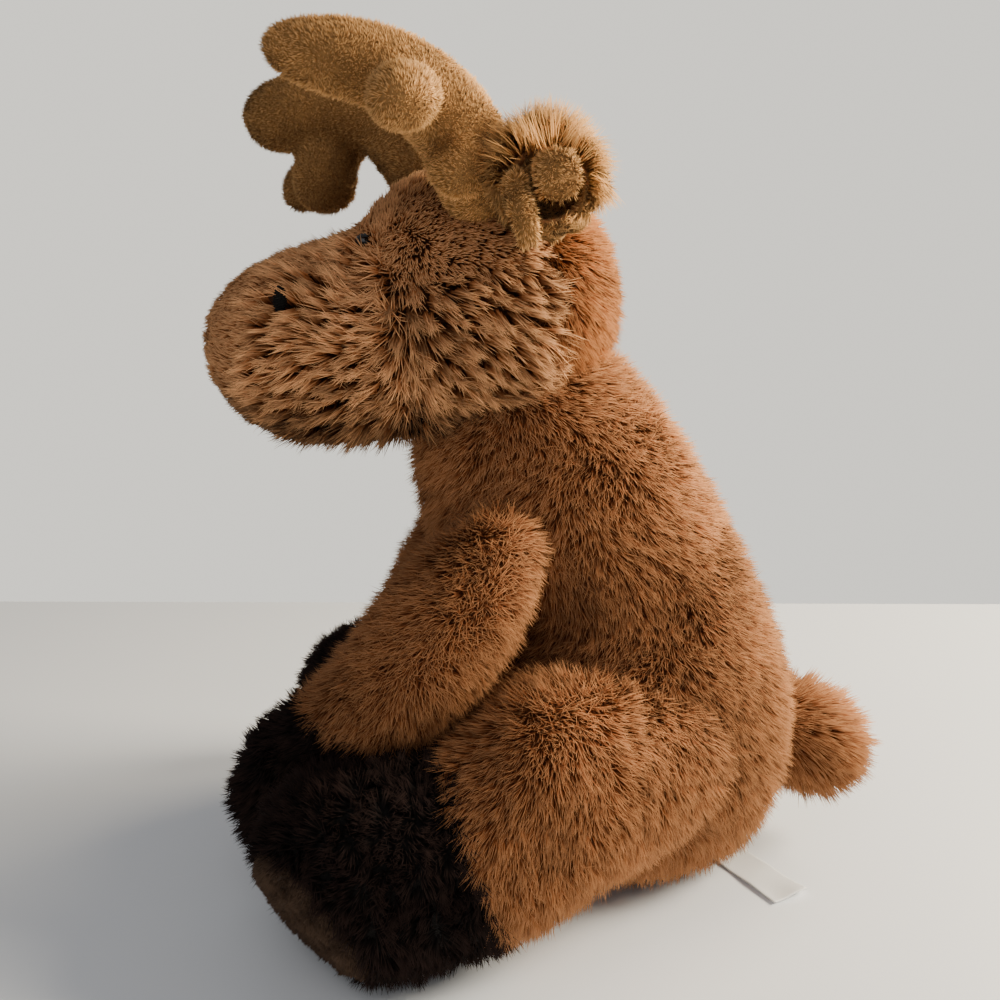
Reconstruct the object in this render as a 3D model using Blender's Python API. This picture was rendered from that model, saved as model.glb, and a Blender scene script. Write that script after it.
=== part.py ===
"""A seated plush deer: fur-fabric covers over fibre filling, with velvet antlers.

The toy sits on the table at z = 0 and faces -Y. Its left side is at +X.
Every size is in metres.
"""

import math

import bmesh
import bpy
import numpy as np
from mathutils import Matrix, Vector
from mathutils.bvhtree import BVHTree

# Sizes that every piece shares
COVER_WALL = 0.004
SEAM_GAP = 0.0003
REST_GAP = 0.0008
FILLING_FIT = 0.0008
FLOOR_DIP = 0.0005
CUT_OVERRUN = 0.02
CUTTER_REACH = 1.0

# Torso and neck
BELLY_DEPTH = 0.142
BELLY_WIDTH = 0.128
TORSO_MIDDLE_Y = 0.022
NECK_PIVOT_Y = -0.009
NECK_PIVOT_HEIGHT = 0.163
NECK_RADIUS = 0.0455
NECK_PLAY = 0.0008
NECK_OPENING_RADIUS = 0.022
POUCH_HEIGHT = 0.045
TORSO_SEGMENTS = 20
NECK_RING_COUNT = 4
SPHERE_SEGMENTS = 24

# Each row: height, middle, half depth, half width
TORSO_STATION_SHARES = (
    (0.000, 0.010, 0.500, 0.300),
    (0.012, 0.011, 0.575, 0.380),
    (0.050, 0.018, 0.700, 0.540),
    (0.123, 0.025, 0.828, 0.775),
    (0.276, 0.016, 0.962, 0.969),
    (0.430, 0.000, 0.999, 1.000),
    (0.595, -0.036, 0.956, 0.938),
    (0.779, -0.097, 0.849, 0.813),
    (0.939, -0.151, 0.739, 0.711),
    (1.018, -0.187, 0.669, 0.711),
)

# Head
HEAD_LENGTH = 0.146
HEAD_HEIGHT = 0.1025
HEAD_WIDTH = 0.098
MUZZLE_TIP_Y = -0.123
HEAD_BASE_Z = 0.162
REAR_SEAM_SHARE = 0.785
HEAD_SEGMENTS = 20
HEAD_RING_COUNT = 13

# Each row: length from the muzzle tip, middle height, half height, half width
HEAD_STATION_SHARES = (
    (0.000, 0.371, 0.000, 0.000),
    (0.041, 0.360, 0.200, 0.215),
    (0.110, 0.357, 0.290, 0.325),
    (0.219, 0.362, 0.352, 0.402),
    (0.336, 0.372, 0.370, 0.423),
    (0.390, 0.398, 0.388, 0.423),
    (0.445, 0.456, 0.437, 0.439),
    (0.527, 0.498, 0.463, 0.469),
    (0.637, 0.527, 0.473, 0.495),
    (0.774, 0.534, 0.446, 0.495),
    (0.897, 0.512, 0.356, 0.423),
    (0.966, 0.502, 0.229, 0.286),
    (1.000, 0.502, 0.000, 0.000),
)

# Eyes and nostrils
EYE_RADIUS = 0.005
EYE_SPACING = 0.050
EYE_Y = -0.064
EYE_STEM_RADIUS = 0.0016
EYE_STEM_LENGTH = 0.013
EYE_OUTWARD_TURN_SHARE = 0.35
EYE_FORWARD_TURN_SHARE = 0.25
WASHER_RADIUS = 0.0065
WASHER_THICKNESS = 0.0016
EYE_SEGMENTS = 12
NOSTRIL_SPACING = 0.062
NOSTRIL_HEIGHT = 0.008
NOSTRIL_WIDTH = 0.0036
NOSTRIL_Y = -0.092
NOSTRIL_Z = 0.2165

# Antlers
ANTLER_THICKNESS = 0.029
TINE_LENGTH = 0.040
RIGHT_TINE_LENGTH = 0.053
TINE_THICKNESS = 0.0215
LOBE_LENGTH = 0.027
LOBE_THICKNESS = 0.021
RIGHT_LOBE_LENGTH = 0.040
RIGHT_LOBE_THICKNESS = 0.0255
ANTLER_BASE_X = 0.028
ANTLER_BASE_Y = -0.030
ANTLER_BASE_Z = 0.243
ANTLER_REACH = 0.059
ANTLER_RISE = 0.0450
ANTLER_SPREAD = 0.022
RIGHT_ANTLER_LEAN = 0.014
RIGHT_ANTLER_DROOP = 0.010
RIGHT_ANTLER_SWELL_SHARE = 0.46
TINE_ROOT_SHARE = 0.50
LOBE_ROOT_SHARE = 0.24
RIGHT_LOBE_ROOT_SHARE = 0.60
ANTLER_SEGMENTS = 12
ANTLER_RING_COUNT = 10
FINGER_RING_COUNT = 7

# Each row: spread outwards, reach forwards, rise, half thickness
ANTLER_STATION_SHARES = (
    (0.00, 0.00, 0.00, 0.00),
    (0.05, -0.01, 0.06, 0.34),
    (0.25, 0.01, 0.24, 0.50),
    (0.50, 0.10, 0.53, 0.52),
    (0.72, 0.28, 0.76, 0.52),
    (0.88, 0.52, 0.94, 0.44),
    (0.96, 0.76, 0.99, 0.39),
    (0.99, 0.97, 1.00, 0.35),
    (1.00, 1.13, 1.00, 0.00),
)

# Outward, forward and upward shares of the way that the fingers point, left then right
TINE_POINTING_SHARES = ((1.00, 0.30, -0.12), (0.40, 0.72, -0.57))
LOBE_POINTING_SHARES = ((1.00, 0.45, 0.25), (0.05, 0.28, -0.96))

# Ears
EAR_X = 0.0365
EAR_Y = -0.008
EAR_Z = 0.245
EAR_DIAMETER = 0.032
EAR_DEPTH = 0.025
EAR_LINING_THICKNESS = 0.0022
EAR_UP_TILT_DEG = 24
EAR_FORWARD_TURN_DEG = 10
EAR_FLOOR_DEPTH_SHARE = 0.55
EAR_FLOOR_WIDTH_SHARE = 0.62
EAR_RIM_WIDTH_SHARE = 0.88
EAR_RIM_DEPTH_SHARE = 0.90
LINING_RIM_WIDTH_SHARE = 0.80
LINING_RIM_DEPTH_SHARE = 0.93
LINING_FLOOR_WIDTH_SHARE = 0.52
EAR_SEGMENTS = 16

# Each row: distance from the ear's axis, way out along it
EAR_CUP_SHARES = (
    (0.00, 0.00),
    (0.55, 0.00),
    (0.75, 0.30),
    (1.00, 0.72),
    (0.99, 0.92),
    (0.90, 1.00),
)

# Forelegs
SHOULDER_X = 0.061
SHOULDER_Y = -0.014
SHOULDER_Z = 0.149
FORELEG_REACH = 0.088
FORELEG_DROP = 0.124
FORELEG_INSET = 0.037
FORELEG_THICKNESS = 0.052
FORE_HOOF_THICKNESS = 0.060
FORE_HOOF_WIDTH = 0.047
FORELEG_SEAM_SHARE = 0.59
RIGHT_SHOULDER_BACK = 0.010
RIGHT_HOOF_BACK = 0.028
FORELEG_SEAM_SLANT_SHARE = 0.30
LIMB_SEGMENTS = 14
LIMB_RING_COUNT = 10

# Each row: share of the way down, reach, inset, thickness share of the leg, of the hoof
FORELEG_STATION_SHARES = (
    (0.00, 0.00, 0.00, 0.00, 0.00),
    (0.08, 0.08, 0.02, 0.66, 0.00),
    (0.22, 0.25, 0.12, 0.98, 0.00),
    (0.40, 0.43, 0.32, 0.98, 0.00),
    (0.55, 0.58, 0.56, 0.93, 0.00),
    (0.60, 0.63, 0.66, 0.92, 0.00),
    (0.68, 0.72, 0.80, 0.00, 0.92),
    (0.79, 0.82, 0.94, 0.00, 1.00),
    (0.90, 0.92, 0.99, 0.00, 0.84),
    (0.97, 0.98, 1.00, 0.00, 0.52),
    (1.00, 1.00, 1.00, 0.00, 0.00),
)

# Hind legs
HIND_LEG_LENGTH = 0.1625
HAUNCH_BACK_Y = 0.056
THIGH_HEIGHT = 0.104
THIGH_WIDTH = 0.074
HIP_X = 0.055
HIND_SPLAY = 0.012
HIND_SEAM_SHARE = 0.552
HIND_SEAM_TILT_DEG = 18
SOLE_CENTRE_SHARE = 0.76
SOLE_DISTANCE = 0.0275
SOLE_TURN_DEG = 37
SOLE_TILT_DEG = 27
SOLE_THICKNESS = 0.0055
HIND_SEGMENTS = 16
HIND_RING_COUNT = 11

# Each row: length from the haunch, outward splay, middle height, half width, half height
HIND_LEG_STATION_SHARES = (
    (0.000, -0.67, 0.615, 0.000, 0.000),
    (0.049, -0.58, 0.606, 0.216, 0.192),
    (0.160, -0.42, 0.596, 0.405, 0.327),
    (0.308, -0.08, 0.577, 0.500, 0.404),
    (0.449, 0.08, 0.534, 0.493, 0.433),
    (0.560, 0.33, 0.418, 0.459, 0.394),
    (0.634, 0.50, 0.380, 0.453, 0.365),
    (0.714, 0.67, 0.365, 0.473, 0.365),
    (0.825, 0.83, 0.365, 0.459, 0.361),
    (0.917, 0.92, 0.361, 0.378, 0.308),
    (0.972, 1.00, 0.356, 0.243, 0.202),
    (1.000, 1.00, 0.356, 0.000, 0.000),
)

# Tail
TAIL_LENGTH = 0.056
TAIL_WIDTH = 0.042
TAIL_HEIGHT = 0.052
TAIL_TIP_Y = 0.123
TAIL_ROOT_Z = 0.053
TAIL_DROP = 0.012
TAIL_SEGMENTS = 14
TAIL_RING_COUNT = 7

# Each row: length from the root, drop, half width, half height
TAIL_STATION_SHARES = (
    (0.00, 0.00, 0.00, 0.00),
    (0.12, 0.05, 0.33, 0.34),
    (0.40, 0.30, 0.47, 0.47),
    (0.70, 0.75, 0.50, 0.50),
    (0.90, 0.95, 0.34, 0.35),
    (1.00, 1.00, 0.00, 0.00),
)

# Label
LABEL_WIDTH = 0.0155
LABEL_LENGTH = 0.047
LABEL_THICKNESS = 0.0008
LABEL_LIFT = 0.0004
LABEL_ROOT_X = -0.004
LABEL_ROOT_Y = 0.0655
LABEL_TURN_DEG = 22

# Joint axes, set at the seam that each piece bends about
FORELEG_HINGE_Y = -0.004
FORELEG_HINGE_Z = 0.149
HIP_HINGE_X = 0.050
HIP_HINGE_Y = 0.052
HIP_HINGE_Z = 0.050
SPLAY_LIMIT_DEG = 18
SPLAY_STEP_SHARES = (0.0, 0.25, 0.5, 0.75, 1.0)
TAIL_HINGE_Y = 0.083
TAIL_HINGE_Z = 0.075
EAR_HINGE_X = 0.040
EAR_HINGE_Y = 0.012
EAR_HINGE_Z = 0.250
ANTLER_HINGE_X = 0.030
ANTLER_HINGE_Y = -0.017
ANTLER_HINGE_Z = 0.266

# Colours, as red, green and blue, with roughness
BODY_FUR_LOOK = ((0.38, 0.145, 0.038), 0.95)
HEAD_FUR_LOOK = ((0.30, 0.110, 0.035), 0.95)
REAR_FUR_LOOK = ((0.40, 0.130, 0.045), 0.95)
VELVET_LOOK = ((0.36, 0.170, 0.050), 0.85)
HOOF_FUR_LOOK = ((0.020, 0.010, 0.007), 0.95)
SOLE_LOOK = ((0.060, 0.030, 0.018), 0.80)
EYE_LOOK = ((0.004, 0.004, 0.005), 0.12)
STITCH_LOOK = ((0.012, 0.008, 0.007), 0.70)
LABEL_LOOK = ((0.80, 0.80, 0.79), 0.45)
FILLING_LOOK = ((0.85, 0.85, 0.83), 0.95)
POUCH_LOOK = ((0.75, 0.72, 0.66), 0.90)
WASHER_LOOK = ((0.70, 0.70, 0.68), 0.45)


def clear_scene():
    for old in list(bpy.data.objects):
        bpy.data.objects.remove(old, do_unlink=True)


def material(name, look):
    """A Principled material, made once for each name."""
    found = bpy.data.materials.get(name)
    if found:
        return found
    made = bpy.data.materials.new(name)
    made.use_nodes = True
    shader = made.node_tree.nodes["Principled BSDF"]
    colour, roughness = look
    shader.inputs["Base Color"].default_value = (*colour, 1.0)
    shader.inputs["Roughness"].default_value = roughness
    made.diffuse_color = (*colour, 1.0)
    return made


def add_object(name, mesh_data):
    made = bpy.data.objects.new(name, mesh_data)
    bpy.context.scene.collection.objects.link(made)
    return made


def steady_curve(stations, values, wanted):
    """Smooth values between stations that never swing past them."""
    stations = np.asarray(stations, float)
    values = np.asarray(values, float)
    steps = np.diff(stations)
    slopes = np.diff(values) / steps
    tangents = np.empty_like(values)
    tangents[0] = slopes[0]
    tangents[-1] = slopes[-1]
    for i in range(1, len(values) - 1):
        before, after = slopes[i - 1], slopes[i]
        if before * after <= 0:
            tangents[i] = 0.0
            continue
        near = 2 * steps[i] + steps[i - 1]
        far = steps[i] + 2 * steps[i - 1]
        tangents[i] = (near + far) / (near / before + far / after)
    index = np.clip(np.searchsorted(stations, wanted, side="right") - 1, 0, len(steps) - 1)
    width = steps[index]
    t = (wanted - stations[index]) / width
    return (
        (2 * t**3 - 3 * t**2 + 1) * values[index]
        + (t**3 - 2 * t**2 + t) * width * tangents[index]
        + (3 * t**2 - 2 * t**3) * values[index + 1]
        + (t**3 - t**2) * width * tangents[index + 1]
    )


def rounded_steps(count):
    """Steps from 0 to 1 that crowd together at both ends, where a form rounds over."""
    return (1 - np.cos(np.linspace(0, math.pi, count))) / 2


def ring_frames(centres, reference, travel=None):
    """Two unit directions in the plane of each ring."""
    if travel is None:
        travel = np.gradient(centres, axis=0)
    else:
        travel = np.broadcast_to(np.asarray(travel, float), centres.shape)
    travel = travel / np.linalg.norm(travel, axis=1, keepdims=True)
    across = reference - (travel @ reference)[:, None] * travel
    across = across / np.linalg.norm(across, axis=1, keepdims=True)
    return across, np.cross(travel, across)


def ring_points(centres, across, upward, half_across, half_upward, segments):
    """Oval rings of points, one ring for each centre."""
    angles = np.linspace(0, 2 * math.pi, segments, endpoint=False)
    return (
        centres[:, None, :]
        + across[:, None, :] * half_across[:, None, None] * np.cos(angles)[None, :, None]
        + upward[:, None, :] * half_upward[:, None, None] * np.sin(angles)[None, :, None]
    )


def closed_form(rings, start, end, grow):
    """A closed skin over the rings and two end points, moved outwards by grow."""
    shape = bmesh.new()
    segments = rings.shape[1]
    loops = [[shape.verts.new(point) for point in ring] for ring in rings]
    for lower, upper in zip(loops, loops[1:]):
        for i in range(segments):
            j = (i + 1) % segments
            shape.faces.new((lower[i], lower[j], upper[j], upper[i]))
    for loop, tip in ((loops[0], start), (loops[-1], end)):
        point = shape.verts.new(tip)
        for i in range(segments):
            shape.faces.new((loop[i], loop[(i + 1) % segments], point))
    bmesh.ops.recalc_face_normals(shape, faces=shape.faces)
    if grow:
        shape.normal_update()
        shifts = [vertex.normal * grow for vertex in shape.verts]
        for vertex, shift in zip(shape.verts, shifts):
            vertex.co += shift
    return shape


def lofted(name, rings, start, end, grow=0.0):
    shape = closed_form(rings, start, end, grow)
    data = bpy.data.meshes.new(name)
    shape.to_mesh(data)
    shape.free()
    return add_object(name, data)


def swollen_rows(share_rows, count):
    """Rows between the stations. The last columns hold half sizes, which round over at 0."""
    rows = np.asarray(share_rows, float)
    wanted = rows[0, 0] + (rows[-1, 0] - rows[0, 0]) * rounded_steps(count)
    return rows, wanted


def smooth_half(rows, column, wanted):
    squared = steady_curve(rows[:, 0], rows[:, column] ** 2, wanted)
    return np.sqrt(np.maximum(squared, 0))


def torso_form(name, grow=0.0):
    """A pear that stands on its flat base and ends in the ball that the head turns on."""
    rows = np.asarray(TORSO_STATION_SHARES, float)
    between = (rows[3:-1, 0] + rows[4:, 0]) / 2
    heights = np.sort(np.concatenate([rows[:, 0], between]))
    middle = steady_curve(rows[:, 0], rows[:, 1], heights)
    z = heights * NECK_PIVOT_HEIGHT
    z[0] = -FLOOR_DIP
    centres = np.column_stack([0 * z, TORSO_MIDDLE_Y + middle * BELLY_DEPTH, z])
    half_width = smooth_half(rows, 3, heights) * BELLY_WIDTH / 2
    half_depth = smooth_half(rows, 2, heights) * BELLY_DEPTH / 2
    first = math.asin((z[-1] - NECK_PIVOT_HEIGHT) / NECK_RADIUS)
    rise = np.linspace(first, math.pi / 2, NECK_RING_COUNT + 2)[1:-1]
    ball = np.column_stack(
        [0 * rise, NECK_PIVOT_Y + 0 * rise, NECK_PIVOT_HEIGHT + NECK_RADIUS * np.sin(rise)]
    )
    centres = np.vstack([centres, ball])
    half_width = np.concatenate([half_width, NECK_RADIUS * np.cos(rise)])
    half_depth = np.concatenate([half_depth, NECK_RADIUS * np.cos(rise)])
    across, upward = ring_frames(centres, np.array([1.0, 0, 0]), (0, 0, 1))
    rings = ring_points(centres, across, upward, half_width, half_depth, TORSO_SEGMENTS)
    top = (0, NECK_PIVOT_Y, NECK_PIVOT_HEIGHT + NECK_RADIUS)
    return lofted(name, rings, centres[0], top, grow)


def head_form(name, grow=0.0):
    """Muzzle bulb, brow and round back of the head in one lofted skin."""
    rows, wanted = swollen_rows(HEAD_STATION_SHARES, HEAD_RING_COUNT + 2)
    middle = steady_curve(rows[:, 0], rows[:, 1], wanted)
    centres = np.column_stack(
        [
            0 * wanted,
            MUZZLE_TIP_Y + wanted * HEAD_LENGTH,
            HEAD_BASE_Z + middle * HEAD_HEIGHT,
        ]
    )
    half_width = smooth_half(rows, 3, wanted)[1:-1] * HEAD_WIDTH
    half_height = smooth_half(rows, 2, wanted)[1:-1] * HEAD_HEIGHT
    inner = centres[1:-1]
    across, upward = ring_frames(inner, np.array([1.0, 0, 0]), (0, 1, 0))
    rings = ring_points(inner, across, upward, half_width, half_height, HEAD_SEGMENTS)
    return lofted(name, rings, centres[0], centres[-1], grow)


def foreleg_centres(side, shares):
    """Middle line of the foreleg. The right one hangs further back."""
    rows = np.asarray(FORELEG_STATION_SHARES, float)
    reach = steady_curve(rows[:, 0], rows[:, 1], shares)
    inset = steady_curve(rows[:, 0], rows[:, 2], shares)
    back = RIGHT_SHOULDER_BACK * (1 - reach) + RIGHT_HOOF_BACK * reach if side < 0 else 0
    return np.column_stack(
        [
            side * (SHOULDER_X - inset * FORELEG_INSET),
            SHOULDER_Y - reach * FORELEG_REACH + back,
            SHOULDER_Z - shares * FORELEG_DROP,
        ]
    )


def foreleg_form(name, side, grow=0.0):
    rows, wanted = swollen_rows(FORELEG_STATION_SHARES, LIMB_RING_COUNT + 2)
    centres = foreleg_centres(side, wanted)
    thick = rows[:, 3] * FORELEG_THICKNESS + rows[:, 4] * FORE_HOOF_THICKNESS
    wide = rows[:, 3] * FORELEG_THICKNESS + rows[:, 4] * FORE_HOOF_WIDTH
    half_thick = np.sqrt(np.maximum(steady_curve(rows[:, 0], thick**2, wanted), 0)) / 2
    half_wide = np.sqrt(np.maximum(steady_curve(rows[:, 0], wide**2, wanted), 0)) / 2
    across, upward = ring_frames(centres, np.array([1.0, 0, 0]))
    rings = ring_points(
        centres[1:-1],
        across[1:-1],
        upward[1:-1],
        half_wide[1:-1],
        half_thick[1:-1],
        LIMB_SEGMENTS,
    )
    return lofted(name, rings, centres[0], centres[-1], grow)


def hind_leg_rows(wanted):
    rows = np.asarray(HIND_LEG_STATION_SHARES, float)
    splay = steady_curve(rows[:, 0], rows[:, 1], wanted)
    height = steady_curve(rows[:, 0], rows[:, 2], wanted)
    return np.column_stack(
        [
            HIP_X + splay * HIND_SPLAY,
            HAUNCH_BACK_Y - wanted * HIND_LEG_LENGTH,
            height * THIGH_HEIGHT,
        ]
    )


def hind_leg_form(name, side, grow=0.0):
    rows, wanted = swollen_rows(HIND_LEG_STATION_SHARES, HIND_RING_COUNT + 2)
    centres = hind_leg_rows(wanted) * np.array([side, 1, 1])
    half_width = smooth_half(rows, 3, wanted)[1:-1] * THIGH_WIDTH
    half_height = smooth_half(rows, 4, wanted)[1:-1] * THIGH_HEIGHT
    inner = centres[1:-1]
    across, upward = ring_frames(inner, np.array([1.0, 0, 0]), (0, -1, 0))
    rings = ring_points(inner, across, upward, half_width, half_height, HIND_SEGMENTS)
    return lofted(name, rings, centres[0], centres[-1], grow)


def tail_form(name, grow=0.0):
    rows, wanted = swollen_rows(TAIL_STATION_SHARES, TAIL_RING_COUNT + 2)
    drop = steady_curve(rows[:, 0], rows[:, 1], wanted)
    centres = np.column_stack(
        [
            0 * wanted,
            TAIL_TIP_Y - (1 - wanted) * TAIL_LENGTH,
            TAIL_ROOT_Z - drop * TAIL_DROP,
        ]
    )
    half_width = smooth_half(rows, 2, wanted)[1:-1] * TAIL_WIDTH
    half_height = smooth_half(rows, 3, wanted)[1:-1] * TAIL_HEIGHT
    inner = centres[1:-1]
    across, upward = ring_frames(inner, np.array([1.0, 0, 0]), (0, 1, 0))
    rings = ring_points(inner, across, upward, half_width, half_height, TAIL_SEGMENTS)
    return lofted(name, rings, centres[0], centres[-1], grow)


def rounded_tube(name, centres, half, segments, reference, grow=0.0):
    across, upward = ring_frames(centres, reference)
    rings = ring_points(
        centres[1:-1], across[1:-1], upward[1:-1], half[1:-1], half[1:-1], segments
    )
    return lofted(name, rings, centres[0], centres[-1], grow)


def round_finger(name, root, direction, length, thickness, grow=0.0):
    """A short stuffed finger with a domed tip."""
    along = rounded_steps(FINGER_RING_COUNT)
    direction = np.asarray(direction, float)
    direction = direction / np.linalg.norm(direction)
    centres = np.asarray(root, float) + along[:, None] * direction * length
    share = thickness / 2 / length
    near_tip = np.clip((1 - along) / share, 0, 1)
    near_root = np.clip(along / share, 0, 1)
    half = thickness / 2 * np.sqrt(1 - (1 - near_tip) ** 2) * np.sqrt(1 - (1 - near_root) ** 2)
    upright = np.array([0, 0, 1.0])
    return rounded_tube(name, centres, half, ANTLER_SEGMENTS, upright, grow)


def antler_centres(side, wanted):
    rows = np.asarray(ANTLER_STATION_SHARES, float)
    path = np.linspace(0, 1, len(rows))
    spread = steady_curve(path, rows[:, 0], wanted)
    reach = steady_curve(path, rows[:, 1], wanted)
    rise = steady_curve(path, rows[:, 2], wanted)
    lean = RIGHT_ANTLER_LEAN * rise if side < 0 else 0 * rise
    droop = RIGHT_ANTLER_DROOP * reach**2 if side < 0 else 0 * reach
    return np.column_stack(
        [
            side * (ANTLER_BASE_X + spread * ANTLER_SPREAD),
            ANTLER_BASE_Y - reach * ANTLER_REACH - lean,
            ANTLER_BASE_Z + rise * ANTLER_RISE - droop,
        ]
    )


def pointing(side, shares):
    outward, forward, upward = shares
    return side * outward, -forward, upward


def antler_forms(side, name, grow=0.0):
    """The curved beam, its outward tine and its low lobe, each a closed form."""
    rows = np.asarray(ANTLER_STATION_SHARES, float)
    path = np.linspace(0, 1, len(rows))
    wanted = rounded_steps(ANTLER_RING_COUNT + 2)
    squared = steady_curve(path, (rows[:, 3] * ANTLER_THICKNESS) ** 2, wanted)
    reach = steady_curve(path, rows[:, 1], wanted)
    swell = RIGHT_ANTLER_SWELL_SHARE * reach**2 if side < 0 else 0 * reach
    half = np.sqrt(np.maximum(squared, 0)) * (1 + swell)
    centres = antler_centres(side, wanted)
    across = np.array([1.0, 0, 0])
    beam = rounded_tube(name, centres, half, ANTLER_SEGMENTS, across, grow)
    lobe_root = LOBE_ROOT_SHARE if side > 0 else RIGHT_LOBE_ROOT_SHARE
    roots = antler_centres(side, np.array([TINE_ROOT_SHARE, lobe_root]))
    column = 0 if side > 0 else 1
    tine = round_finger(
        name + "_tine",
        roots[0],
        pointing(side, TINE_POINTING_SHARES[column]),
        TINE_LENGTH if side > 0 else RIGHT_TINE_LENGTH,
        TINE_THICKNESS,
        grow,
    )
    lobe = round_finger(
        name + "_lobe",
        roots[1],
        pointing(side, LOBE_POINTING_SHARES[column]),
        LOBE_LENGTH if side > 0 else RIGHT_LOBE_LENGTH,
        LOBE_THICKNESS if side > 0 else RIGHT_LOBE_THICKNESS,
        grow,
    )
    return beam, tine, lobe


def antler(side, word, head_cutter):
    """The antler, cut to seat on the head, and the cutters that clear the ear from it."""
    beam, tine, lobe = antler_forms(side, "antler_" + word)
    boolean(beam, tine, "UNION")
    boolean(beam, lobe, "UNION")
    cut(beam, head_cutter)
    finish(beam, "antler_velvet", VELVET_LOOK)
    return [hide_cutter(form) for form in antler_forms(side, "antler_room_" + word, SEAM_GAP)]


def hide_cutter(cutter):
    cutter.hide_render = True
    cutter.display_type = "WIRE"
    return cutter


def boolean(target, other, operation):
    hide_cutter(other)
    modifier = target.modifiers.new(operation.title() + " " + other.name, "BOOLEAN")
    modifier.operation = operation
    modifier.solver = "EXACT"
    modifier.object = other


def cut(target, *cutters):
    for cutter in cutters:
        boolean(target, cutter, "DIFFERENCE")


def finish(made, material_name, look):
    """Smooth shading and the piece's material."""
    made.data.shade_smooth()
    made.data.materials.append(material(material_name, look))
    return made


def half_space(name, point, normal):
    """A large block with one face through the point, lying on the side of the normal."""
    shape = bmesh.new()
    bmesh.ops.create_cube(shape, size=CUTTER_REACH)
    lift = Matrix.Translation((0, 0, CUTTER_REACH / 2))
    turn = Vector((0, 0, 1)).rotation_difference(Vector(normal).normalized())
    place = Matrix.Translation(point) @ turn.to_matrix().to_4x4() @ lift
    bmesh.ops.transform(shape, matrix=place, verts=shape.verts)
    data = bpy.data.meshes.new(name)
    shape.to_mesh(data)
    shape.free()
    return hide_cutter(add_object(name, data))


def ball(name, centre, radius, segments=SPHERE_SEGMENTS):
    shape = bmesh.new()
    bmesh.ops.create_uvsphere(
        shape, u_segments=segments, v_segments=segments // 2, radius=radius
    )
    bmesh.ops.translate(shape, verts=shape.verts, vec=centre)
    data = bpy.data.meshes.new(name)
    shape.to_mesh(data)
    shape.free()
    return add_object(name, data)


def rod(name, middle, direction, radius, length, segments):
    shape = bmesh.new()
    turn = Vector((0, 0, 1)).rotation_difference(Vector(direction).normalized())
    bmesh.ops.create_cone(
        shape,
        cap_ends=True,
        segments=segments,
        radius1=radius,
        radius2=radius,
        depth=length,
        matrix=Matrix.Translation(middle) @ turn.to_matrix().to_4x4(),
    )
    data = bpy.data.meshes.new(name)
    shape.to_mesh(data)
    shape.free()
    return add_object(name, data)


def turned(name, profile, centre, direction, segments):
    """A closed turned solid from (radius, along) points that start and end on the axis."""
    shape = bmesh.new()
    rings = []
    for radius, along in profile:
        if radius == 0:
            rings.append([shape.verts.new((0, 0, along))])
            continue
        angles = [2 * math.pi * i / segments for i in range(segments)]
        rings.append(
            [
                shape.verts.new((radius * math.cos(a), radius * math.sin(a), along))
                for a in angles
            ]
        )
    for lower, upper in zip(rings, rings[1:]):
        for i in range(segments):
            j = (i + 1) % segments
            corners = [lower[i % len(lower)], lower[j % len(lower)]]
            corners += [upper[j % len(upper)], upper[i % len(upper)]]
            shape.faces.new(list(dict.fromkeys(corners)))
    bmesh.ops.recalc_face_normals(shape, faces=shape.faces)
    turn = Vector((0, 0, 1)).rotation_difference(Vector(direction).normalized())
    place = Matrix.Translation(centre) @ turn.to_matrix().to_4x4()
    bmesh.ops.transform(shape, matrix=place, verts=shape.verts)
    data = bpy.data.meshes.new(name)
    shape.to_mesh(data)
    shape.free()
    return add_object(name, data)


def surface_at(tree, start, direction):
    """The point and normal where a ray from start first meets the skin."""
    point, normal, _, _ = tree.ray_cast(Vector(start), Vector(direction))
    return point, normal


def skin_tree(source):
    shape = bmesh.new()
    shape.from_mesh(source.data)
    tree = BVHTree.FromBMesh(shape)
    shape.free()
    return tree


def floor_cutter():
    return half_space("floor_cut", (0, 0, 0), (0, 0, -1))


def neck_socket(name, extra=0.0):
    centre = (0, NECK_PIVOT_Y, NECK_PIVOT_HEIGHT)
    return hide_cutter(ball(name, centre, NECK_RADIUS + NECK_PLAY + extra))


def torso_pieces(floor):
    cover = torso_form("torso_cover")
    opening = rod(
        "neck_opening_cut",
        (0, NECK_PIVOT_Y, NECK_PIVOT_HEIGHT + NECK_RADIUS),
        (0, 0, 1),
        NECK_OPENING_RADIUS,
        NECK_RADIUS,
        TORSO_SEGMENTS,
    )
    cut(cover, floor, torso_form("torso_cavity", -COVER_WALL), opening)
    finish(cover, "body_fur", BODY_FUR_LOOK)
    inside = -(COVER_WALL + FILLING_FIT)
    filling = torso_form("torso_filling", inside)
    cut(filling, half_space("pouch_space_cut", (0, 0, POUCH_HEIGHT + SEAM_GAP), (0, 0, -1)))
    finish(filling, "fibre_filling", FILLING_LOOK)
    pouch = torso_form("pellet_pouch", inside)
    cut(pouch, half_space("pouch_top_cut", (0, 0, POUCH_HEIGHT), (0, 0, 1)))
    finish(pouch, "pouch_cloth", POUCH_LOOK)


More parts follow.
